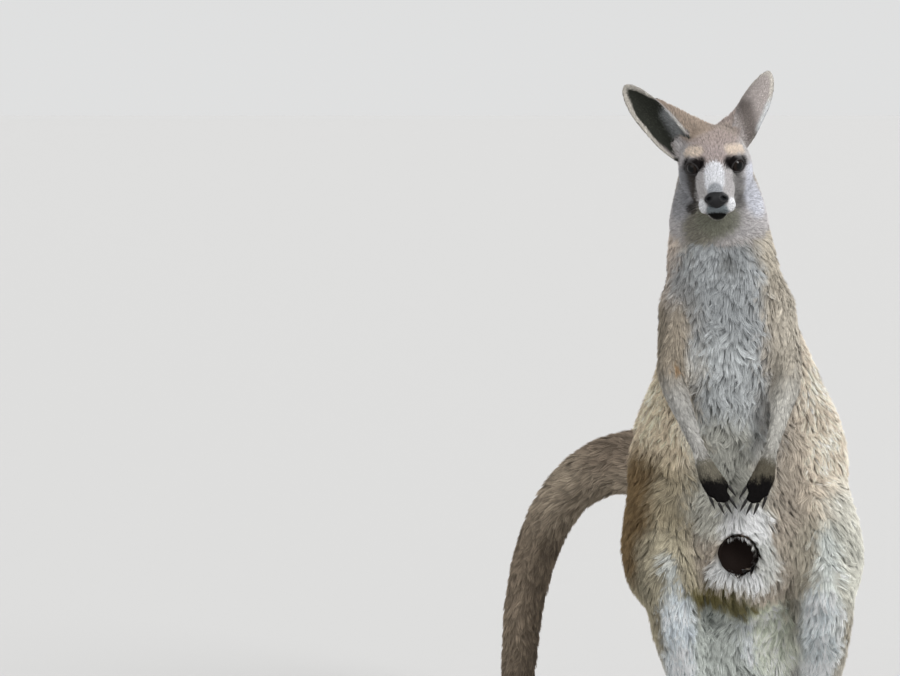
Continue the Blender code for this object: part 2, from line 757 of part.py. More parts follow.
NECK_CUT, NECK_UP = Vector((-0.036, -0.010, 1.000)), Vector((-0.05, -0.35, 1.0))
CHEST_CUT, CHEST_UP = Vector((-0.024, -0.005, 0.905)), Vector((-0.1, -0.30, 1.0))
TAIL_CUTS = [
    (Vector((-0.325, 0.384, 0.430)), Vector((-0.40, 0.12, -1.0))),
    (Vector((-0.379, 0.412, 0.150)), Vector((0.0, 0.12, -1.0))),
]
POUCH_MOUTH, POUCH_MOUTH_RADII = Vector((-0.010, -0.126, 0.4300)), (0.0310, 0.0270, 0.0290)
TAIL_MARGIN = 0.012
ARM_MARGIN, SHIN_MARGIN = 0.008, 0.012
SHIN_TOP = 0.243
ANKLE_SHARE = 0.86
BODY_TRIANGLES = 1700
FLOOR_REACH = 2.0


def flatten_below(obj, level):
    """Cuts away all that lies under a level, so that the piece stands on a flat."""
    block = box("under", Vector((0, 0, level - FLOOR_REACH / 2)), (FLOOR_REACH, FLOOR_REACH, FLOOR_REACH))
    return cut(obj, block)


def ellipsoid_regions(centre, radii, turn):
    wider = Vector(radii) + Vector((CUT_GAP,) * 3)
    return ellipsoid("region", centre, radii, turn, 15), ellipsoid("grown", centre, wider, turn, 15)


def box_regions(centre, sizes):
    return box("region", centre, sizes), box("grown", centre, Vector(sizes) + Vector((2 * CUT_GAP,) * 3))


def make_body():
    """Trunk, neck, limbs and tail as one body, then parted into named pieces."""
    pieces = trunk_lofts() + neck_lofts() + [tail_loft()]
    for side in SIDES:
        pieces += arm_lofts(side) + thigh_lofts(side) + [shin_loft(side)]
    body = flesh("trunk", pieces, 0.006, 9, BODY_TRIANGLES)
    flatten_below(body, 0.0)
    cut(body, ellipsoid("opening", POUCH_MOUTH, POUCH_MOUTH_RADII, Matrix.Rotation(radians(-20), 3, "X"), 12))
    head_stub = part_off_beyond("above", body, NECK_CUT, NECK_UP, 0.4, 0.3)
    bpy.data.objects.remove(head_stub)
    part_off_beyond("neck", body, CHEST_CUT, CHEST_UP, 0.13, 0.3)
    tail = part_off("tail_base", body, *limb_regions(tail_stations()[2:], TAIL_MARGIN))
    middle = part_off_beyond("tail_middle", tail, *TAIL_CUTS[0], 0.9, 0.9)
    part_off_beyond("tail_end", middle, *TAIL_CUTS[1], 0.6, 0.9)
    for side, sign in SIDES.items():
        upper, lower = arm_stations(side)
        wrist, knee, heel = WRIST[side], KNEE[side], HEEL[side]
        arm = part_off(f"upper_arm_{side}", body, *limb_regions(upper[1:] + lower[2:], ARM_MARGIN))
        forearm = part_off_beyond(
            f"forearm_{side}", arm, ELBOW[side] + Vector((0, 0.002, -0.010)), Vector((0, -0.35, -1)), 0.4, 0.16)
        hand_stub = part_off_beyond("stub", forearm, wrist, KNUCKLES[side] - wrist, 0.2, 0.1)
        bpy.data.objects.remove(hand_stub)
        shin_top = knee.lerp(heel, (knee.z - SHIN_TOP) / (knee.z - heel.z))
        shin = part_off(f"shin_{side}", body, *box_regions(Vector((shin_top.x, 0.03, SHIN_TOP - 0.2)), (0.16, 0.5, 0.4)))
        foot_stub = part_off_beyond("stub", shin, knee.lerp(heel, ANKLE_SHARE), heel - knee, 0.2, 0.17)
        bpy.data.objects.remove(foot_stub)
        centre = Vector((HIP[side].x + sign * 0.108, -0.010, 0.405))
        haunch, wider = ellipsoid_regions(centre, (0.132, 0.255, 0.190), Matrix.Rotation(radians(15), 3, "X"))
        below, below_wider = limb_regions(shin_stations(side)[:5], SHIN_MARGIN)
        part_off(f"thigh_{side}", body, cut(haunch, below, "UNION"), cut(wider, below_wider, "UNION"))


def make_head():
    """The head is modelled finer than the body, with the top of the neck to blend into, and parted at the neck."""
    head = flesh("head", head_lofts() + neck_lofts(), 0.0028, 6, 1000)
    below = slab_region(NECK_CUT, NECK_UP.normalized() * -1, 0.4, 0.4, CUT_GAP)
    return cut(head, below)


def make_hands():
    for side in SIDES:
        hand = flesh(f"hand_{side}", hand_lofts(side), 0.0018, 3, 260)
        line = (WRIST[side] - KNUCKLES[side]).normalized()
        cut(hand, slab_region(WRIST[side], line, 0.2, 0.1, CUT_GAP))
        for claw in make_hand_claws(side):
            socketed(hand, claw)


def make_feet():
    for side in SIDES:
        shin_line = HEEL[side] - KNEE[side]
        down = shin_line.normalized()
        behind_ankle = KNEE[side] + shin_line * ANKLE_SHARE + Vector((1, 0, 0)).cross(down) * 0.06
        pieces = foot_lofts(side) + [shin_loft(side)]
        foot = flesh(f"foot_{side}", pieces, 0.0028, 4, 520)
        flatten_below(foot, 0.0)
        cut(foot, slab_region(behind_ankle, -down, 0.4, 0.26, CUT_GAP))
        for claw in make_foot_claws(side):
            socketed(foot, claw)
            flatten_below(claw, 0.0004)


def centre_on_origin():
    """Moves the whole animal so that the origin is at the middle of the bottom of the box around it."""
    places = [v.co for obj in bpy.data.objects for v in obj.data.vertices]
    low = Vector([min(p[i] for p in places) for i in range(3)])
    high = Vector([max(p[i] for p in places) for i in range(3)])
    shift = Matrix.Translation(Vector((-(low.x + high.x) / 2, -(low.y + high.y) / 2, -low.z)))
    for obj in bpy.data.objects:
        obj.data.transform(shift)


def main():
    clear_scene()
    make_body()
    head = make_head()
    for side in SIDES:
        make_ear(side)
        cut(head, make_ear(side, 2 * CUT_GAP))
    for side in SIDES:
        make_eye(side, head)
    make_hands()
    make_feet()
    centre_on_origin()
    dress_all()


main()
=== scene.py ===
"""Looks of a life-size still model of a grey kangaroo.

One skin takes the place of the solids of flesh and lies inside them by the depth of the coat. Small
solid tufts grow on it, and the eyes, lids, nose, whiskers and claws are pieces of their own.
"""

import logging
import math
from collections.abc import Iterable
from dataclasses import astuple, dataclass, field, replace
from enum import Enum

import bmesh
import bpy
import numpy as np
from bpy.types import Material, Mesh, Node, NodeSocket, NodeTree, Object, World
from mathutils import Matrix, Vector
from mathutils.bvhtree import BVHTree
from mathutils.kdtree import KDTree


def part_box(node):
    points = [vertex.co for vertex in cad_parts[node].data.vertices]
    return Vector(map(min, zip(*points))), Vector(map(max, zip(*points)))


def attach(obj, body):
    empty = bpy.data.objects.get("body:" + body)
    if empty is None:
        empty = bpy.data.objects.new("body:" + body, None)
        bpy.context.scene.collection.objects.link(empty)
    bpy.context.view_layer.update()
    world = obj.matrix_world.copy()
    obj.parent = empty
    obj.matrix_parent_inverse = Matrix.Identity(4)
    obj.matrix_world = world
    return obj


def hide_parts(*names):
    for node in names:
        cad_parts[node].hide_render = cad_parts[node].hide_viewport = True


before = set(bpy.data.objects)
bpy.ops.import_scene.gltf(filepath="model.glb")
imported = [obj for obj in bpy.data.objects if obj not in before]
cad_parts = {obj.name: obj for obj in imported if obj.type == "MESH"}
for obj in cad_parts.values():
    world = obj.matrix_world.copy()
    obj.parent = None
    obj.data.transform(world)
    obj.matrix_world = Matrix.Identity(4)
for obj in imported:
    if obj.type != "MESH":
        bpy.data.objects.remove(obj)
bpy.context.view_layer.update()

Triple = tuple[float, float, float]
Span = tuple[float, float]
Rows = np.ndarray

LOG = logging.getLogger("kangaroo")
BODY = "root"
COLOUR_ATTRIBUTE = "Coat"
BAKE_MAP = "OFBake"
COLLECTION = bpy.context.scene.collection

# where the coat's pieces part, in metres
FAR = 9.0
WHOLE: Span = (-FAR, FAR)
BROW_Y = -0.325
FLANK_Y = -0.20
WAIST_Z = 0.62

# the six sides of a part on its bake map
SIDE_MARGIN = 0.01
SIDE_SHARE = 0.31


class Side(Enum):
    """The animal's own sides. Its left is towards +X."""

    LEFT = "left"
    RIGHT = "right"

    @property
    def sign(self) -> float:
        """Plus one on the left and minus one on the right."""
        return 1.0 if self is Side.LEFT else -1.0

    def own(self, point: Triple) -> Vector:
        """Takes a point or direction of the left side to this side."""
        return Vector((point[0] * self.sign, point[1], point[2]))


# ---------------------------------------------------------------- small helpers


def unit(rows: Rows) -> Rows:
    """Scales each row to a length of one."""
    return rows / np.maximum(np.linalg.norm(rows, axis=-1, keepdims=True), 1e-9)


def ramp(values: Rows, low: float, high: float) -> Rows:
    """Rises smoothly from 0 at low to 1 at high, or falls where high is the smaller.

    Args:
        values: What is measured.
        low: Where the ramp starts.
        high: Where it ends.

    Returns:
        A share from 0 to 1 for each value.
    """
    share = np.clip((values - low) / (high - low), 0.0, 1.0)
    return share * share * (3.0 - 2.0 * share)


def mixed(under: Rows, over: Rows, share: Rows) -> Rows:
    """Lays one colour over another by a share for each row."""
    return under + (np.asarray(over) - under) * share[:, None]


def gap_to_bar(points: Rows, start: Rows, end: Rows) -> Rows:
    """Measures how far points lie from a straight bar.

    Args:
        points: The places.
        start: One end of the bar.
        end: Its other end.

    Returns:
        One distance for each point.
    """
    bar = end - start
    share = np.clip((points - start) @ bar / max(float(bar @ bar), 1e-12), 0.0, 1.0)
    return np.linalg.norm(points - start - share[:, None] * bar, axis=1)


def along(rows: Rows, normals: Rows) -> Rows:
    """Lays each direction down onto the surface, as a direction of length one."""
    flat = rows - normals * (rows * normals).sum(1, keepdims=True)
    return unit(flat)


def add_object(name: str, data: bpy.types.ID) -> Object:
    """Puts a mesh, a lamp or a camera in the scene as an object.

    Args:
        name: The object's name.
        data: What it holds.

    Returns:
        The new object, at the origin.
    """
    piece = bpy.data.objects.new(name, data)
    COLLECTION.objects.link(piece)
    return piece


def as_mesh(name: str, shape: bmesh.types.BMesh) -> Mesh:
    """Closes a bmesh into a mesh.

    Args:
        name: The mesh's name.
        shape: The bmesh, which is freed.

    Returns:
        The new mesh.
    """
    mesh = bpy.data.meshes.new(name)
    shape.to_mesh(mesh)
    shape.free()
    return mesh


def mesh_object(name: str, shape: bmesh.types.BMesh) -> Object:
    """Closes a bmesh into an object with its faces turned outwards and shaded smooth.

    Args:
        name: The object's name.
        shape: The bmesh, which is freed.

    Returns:
        The new object.
    """
    bmesh.ops.recalc_face_normals(shape, faces=shape.faces)
    mesh = as_mesh(name, shape)
    mesh.shade_smooth()
    return add_object(name, mesh)


def solid_of(node: str) -> bmesh.types.BMesh:
    """Takes up one of the part's solids, with its loose corners joined.

    Args:
        node: The solid's name.

    Returns:
        A new bmesh.
    """
    shape = bmesh.new()
    shape.from_mesh(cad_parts[node].data)
    bmesh.ops.remove_doubles(shape, verts=shape.verts, dist=1e-5)
    return shape


def read_rows(items: bpy.types.bpy_prop_collection, key: str) -> Rows:
    """Reads one vector from each item of a mesh.

    Args:
        items: The mesh's vertices, or their normals.
        key: The vector's name.

    Returns:
        The vectors as rows.
    """
    flat = np.zeros(len(items) * 3, np.float32)
    items.foreach_get(key, flat)
    return flat.reshape(-1, 3).astype(np.float64)


def vertex_rows(mesh: Mesh) -> Rows:
    """Reads the places of a mesh's vertices as rows."""
    return read_rows(mesh.vertices, "co")


def normal_rows(mesh: Mesh) -> Rows:
    """Reads the normals of a mesh's vertices as rows."""
    return read_rows(mesh.vertex_normals, "vector")


def move_vertices(mesh: Mesh, rows: Rows) -> None:
    """Puts the vertices of a mesh at new places."""
    mesh.vertices.foreach_set("co", rows.astype(np.float32).ravel())
    mesh.update()


def paint(mesh: Mesh, colours: Rows) -> None:
    """Stores one colour for each vertex, under the name that the finishes read.

    Args:
        mesh: The mesh.
        colours: The colours as rows.
    """
    layer = mesh.color_attributes.new(name=COLOUR_ATTRIBUTE, type="FLOAT_COLOR", domain="POINT")
    rows = np.ones((len(colours), 4), np.float32)
    rows[:, :3] = np.clip(colours, 0.0, 1.0)
    layer.data.foreach_set("color", rows.ravel())


def with_modifiers(piece: Object) -> Mesh:
    """Takes a piece away and leaves the mesh that its modifiers make of it.

    Args:
        piece: The object, which is removed.

    Returns:
        The finished mesh.
    """
    graph = bpy.context.evaluated_depsgraph_get()
    mesh = bpy.data.meshes.new_from_object(piece.evaluated_get(graph))
    bpy.data.objects.remove(piece)
    return mesh


def add_smoothing(piece: Object, factor: float, rounds: int) -> None:
    """Adds a modifier that evens a piece out.

    Args:
        piece: The object.
        factor: How far each round goes, from 0 to 1.
        rounds: How many rounds.
    """
    smooth = piece.modifiers.new("smooth", "SMOOTH")
    smooth.factor = factor
    smooth.iterations = rounds


def tree_of(rows: Rows) -> KDTree:
    """Sorts places into a tree that finds the nearest of them.

    Args:
        rows: The places.

    Returns:
        The tree, which numbers the places in their order.
    """
    tree = KDTree(len(rows))
    for number, row in enumerate(rows.tolist()):
        tree.insert(row, number)
    tree.balance()
    return tree


def from_middle(shape: "Nose | Pouch", points: Rows) -> Rows:
    """Measures points from the middle of a rounded shape, in its own radii."""
    return (points - np.array(shape.middle)) / np.array(shape.radii)


@dataclass(frozen=True)
class Ripple:
    """Smooth random variation through space, from a few plane waves."""

    size: float
    seed: int
    waves: int = 14
    spread: Span = (0.6, 1.4)

    def at(self, points: Rows) -> Rows:
        """Reads the variation at each point.

        Args:
            points: The places.

        Returns:
            A value from about -1 to 1 for each point.
        """
        rng = np.random.default_rng(self.seed)
        pace = 2.0 * math.pi / self.size * rng.uniform(*self.spread, (self.waves, 1))
        axes = unit(rng.normal(size=(self.waves, 3))) * pace
        phase = rng.uniform(0.0, 2.0 * math.pi, self.waves)
        return np.sin(points @ axes.T + phase).sum(1) / math.sqrt(self.waves)


# ---------------------------------------------------------------- head frame


@dataclass(frozen=True)
class HeadPose:
    """How the head is turned. In its own frame the muzzle points along -Y from between the eyes."""

    pitch: float = math.radians(17.0)
    roll: float = math.radians(-3.8)
    yaw: float = math.radians(-4.5)
    eye_middle: Triple = (0.0, -0.0095, 0.0020)

    def matrix(self) -> Matrix:
        """Carries points of the head's own frame to their places.

        Returns:
            The matrix that does so, once the eyes' solids are loaded.
        """
        turn = Matrix.Rotation(self.yaw, 4, "Z") @ Matrix.Rotation(self.roll, 4, "Y")
        turn = turn @ Matrix.Rotation(self.pitch, 4, "X")
        corners = [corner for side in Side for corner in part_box(f"eye_{side.value}")]
        middle = sum(corners, Vector()) / len(corners)
        return Matrix.Translation(middle) @ turn @ Matrix.Translation(-Vector(self.eye_middle))

    def inwards(self, points: Rows) -> Rows:
        """Gives points as the head's own frame sees them."""
        back = np.array(self.matrix().inverted())
        return points @ back[:3, :3].T + back[:3, 3]

    def outwards(self, directions: Rows) -> Rows:
        """Turns directions of the head's frame into the model's."""
        return directions @ np.array(self.matrix())[:3, :3].T


HEAD = HeadPose()


# ---------------------------------------------------------------- how the coat grows


@dataclass(frozen=True)
class Pelt:
    """How the coat grows on one part: sizes in metres, density in tufts for each square metre."""

    depth: float
    length: float
    width: float
    density: float


PELTS = {
    "head": Pelt(0.0030, 0.0090, 0.0014, 600_000),
    "ear": Pelt(0.0012, 0.0062, 0.0011, 600_000),
    "neck": Pelt(0.0090, 0.0270, 0.0021, 300_000),
    "trunk": Pelt(0.0110, 0.0330, 0.0022, 300_000),
    "upper_arm": Pelt(0.0060, 0.0210, 0.0019, 300_000),
    "forearm": Pelt(0.0034, 0.0130, 0.0015, 430_000),
    "hand": Pelt(0.0018, 0.0080, 0.0012, 480_000),
    "thigh": Pelt(0.0100, 0.0310, 0.0022, 260_000),
    "shin": Pelt(0.0050, 0.0180, 0.0019, 260_000),
    "foot": Pelt(0.0026, 0.0095, 0.0015, 260_000),
    "tail_base": Pelt(0.0080, 0.0260, 0.0026, 170_000),
    "tail_middle": Pelt(0.0055, 0.0200, 0.0023, 180_000),
    "tail_end": Pelt(0.0045, 0.0170, 0.0020, 190_000),
}


def pelt_of(node: str) -> str:
    """Finds the name of the pelt that a solid of flesh wears."""
    return max((kind for kind in PELTS if node.startswith(kind)), key=len)


@dataclass(frozen=True)
class Lie:
    """Which way the hair lies, part by part, before it is laid down onto the skin."""

    muzzle_tip: Triple = (0.0, -0.105, -0.035)
    back_over_head: float = 0.55
    cheek_height: float = -0.045
    cheek_droop: float = -0.35
    middle_x: float = 0.06
    half_width: float = 0.18
    down_trunk: Triple = (0.3, 0.1, -1.0)
    out_from_pouch: float = 1.1
    pouch_whorl: Span = (0.085, 0.035)
    under_pouch: Span = (0.020, -0.010)
    near_tail: Span = (0.24, 0.10)
    pouch: Triple = (0.088, -0.36, 0.435)
    ears: tuple[tuple[str, Triple], ...] = (
        ("ear_right", (-0.104, -0.002, 0.102)),
        ("ear_left", (0.0705, 0.056, 0.105)),
    )
    limbs: tuple[tuple[str, Triple], ...] = (
        ("neck", (0.0, -0.06, -1.0)),
        ("upper_arm_right", (-0.013, -0.07, -0.126)),
        ("upper_arm_left", (0.01, -0.07, -0.126)),
        ("forearm_right", (0.046, -0.056, -0.14)),
        ("forearm_left", (-0.04, -0.056, -0.138)),
        ("hand_right", (0.023, -0.018, -0.052)),
        ("hand_left", (-0.016, -0.018, -0.05)),
        ("thigh_right", (-0.05, 0.22, -1.0)),
        ("thigh_left", (0.05, 0.22, -1.0)),
        ("shin_right", (0.04, 0.16, -0.3)),
        ("shin_left", (0.0, 0.16, -0.3)),
        ("foot_right", (0.0, -1.0, -0.12)),
        ("foot_left", (0.0, -1.0, -0.12)),
    )
    tail: tuple[Triple, ...] = (
        (0.085, -0.093, 0.5),
        (-0.042, 0.059, 0.547),
        (-0.185, 0.127, 0.497),
        (-0.258, 0.149, 0.35),
        (-0.285, 0.172, 0.13),
        (-0.267, 0.297, 0.024),
        (-0.248, 0.427, 0.013),
    )
    by_tail: Triple = (-0.25, 1.10, 0.0)

    def over(self, part: Rows, names: list[str], points: Rows) -> Rows:
        """Gives the direction of the hair at each point.

        Args:
            part: The number of the part that each point belongs to.
            names: The parts' names, in the order of their numbers.
            points: The places.

        Returns:
            One direction for each point.
        """
        fixed = dict(self.limbs) | dict(self.ears)
        lies = np.zeros_like(points)
        for number, name in enumerate(names):
            here = part == number
            if name == "head":
                lies[here] = self.on_head(points[here])
            elif name == "trunk":
                lies[here] = self.on_trunk(points[here])
            elif name.startswith("tail"):
                lies[here] = self.on_tail(points[here])
            else:
                lies[here] = fixed[name]
        return unit(lies)

    def on_head(self, points: Rows) -> Rows:
        """Hair runs back from the nose, up over the forehead and down under the cheeks.

        Args:
            points: Places on the head.

        Returns:
            One direction for each point.
        """
        local = HEAD.inwards(points)
        flow = unit(local - np.array(self.muzzle_tip))
        flow[:, 1] += self.back_over_head
        flow[:, 2] += np.where(local[:, 2] < self.cheek_height, self.cheek_droop, 0.0)
        return HEAD.outwards(flow)

    def on_trunk(self, points: Rows) -> Rows:
        """Hair hangs down, parts from the midline, and turns out round the pouch and towards the tail.

        Args:
            points: Places on the trunk.

        Returns:
            One direction for each point.
        """
        flow = np.tile(self.down_trunk, (len(points), 1))
        flow[:, 0] *= (points[:, 0] - self.middle_x) / self.half_width
        from_pouch = points - np.array(self.pouch)
        near = ramp(np.linalg.norm(from_pouch, axis=1), *self.pouch_whorl)
        near *= ramp(from_pouch[:, 2], *self.under_pouch)
        flow = flow + unit(from_pouch) * near[:, None] * self.out_from_pouch
        by_tail = ramp(np.linalg.norm(points - np.array(self.tail[1]), axis=1), *self.near_tail)
        return flow + np.array(self.by_tail) * by_tail[:, None]

    def on_tail(self, points: Rows) -> Rows:
        """Hair follows the tail's own line to its tip.

        Args:
            points: Places on the tail.

        Returns:
            One direction for each point.
        """
        flow = np.zeros_like(points)
        for start, end in zip(self.tail, self.tail[1:]):
            a, b = np.array(start), np.array(end)
            gap = gap_to_bar(points, a, b)
            flow += unit(b - a) / (gap[:, None] ** 2 + 1e-6) ** 2
        return unit(flow)


# ---------------------------------------------------------------- markings


@dataclass(frozen=True)
class Mark:
    """A patch of colour: a rounded bar from start to end, soft at its edge."""

    start: Triple
    end: Triple
    radius: float
    blur: float
    colour: Triple
    strength: float = 1.0
    wide: float = 1.0
    deep: float = 1.0
    high: float = 1.0

    def cover(self, points: Rows) -> Rows:
        """Works out how strongly the patch covers each point.

        Args:
            points: The places. A patch reaches further along a direction whose share is less than 1.

        Returns:
            A share from 0 to the patch's strength for each point.
        """
        scale = np.array((self.wide, self.deep, self.high))
        gap = gap_to_bar(points * scale, np.array(self.start) * scale, np.array(self.end) * scale)
        return self.strength * ramp(gap, self.radius + self.blur, self.radius)


def both_sides(mark: Mark) -> list[Mark]:
    """Gives a mark of the head and its mirror image."""
    (x, *start), (far_x, *end) = mark.start, mark.end
    return [mark, replace(mark, start=(-x, *start), end=(-far_x, *end))]


def laid_over(colours: Rows, marks: Iterable[Mark], points: Rows, share: Rows) -> Rows:
    """Lays marks over a colour for each point, one after another.

    Args:
        colours: The colours below.
        marks: The marks.
        points: The places, in the marks' own frame.
        share: How much of a mark each point takes.

    Returns:
        The new colours.
    """
    for mark in marks:
        colours = mixed(colours, mark.colour, mark.cover(points) * share)
    return colours


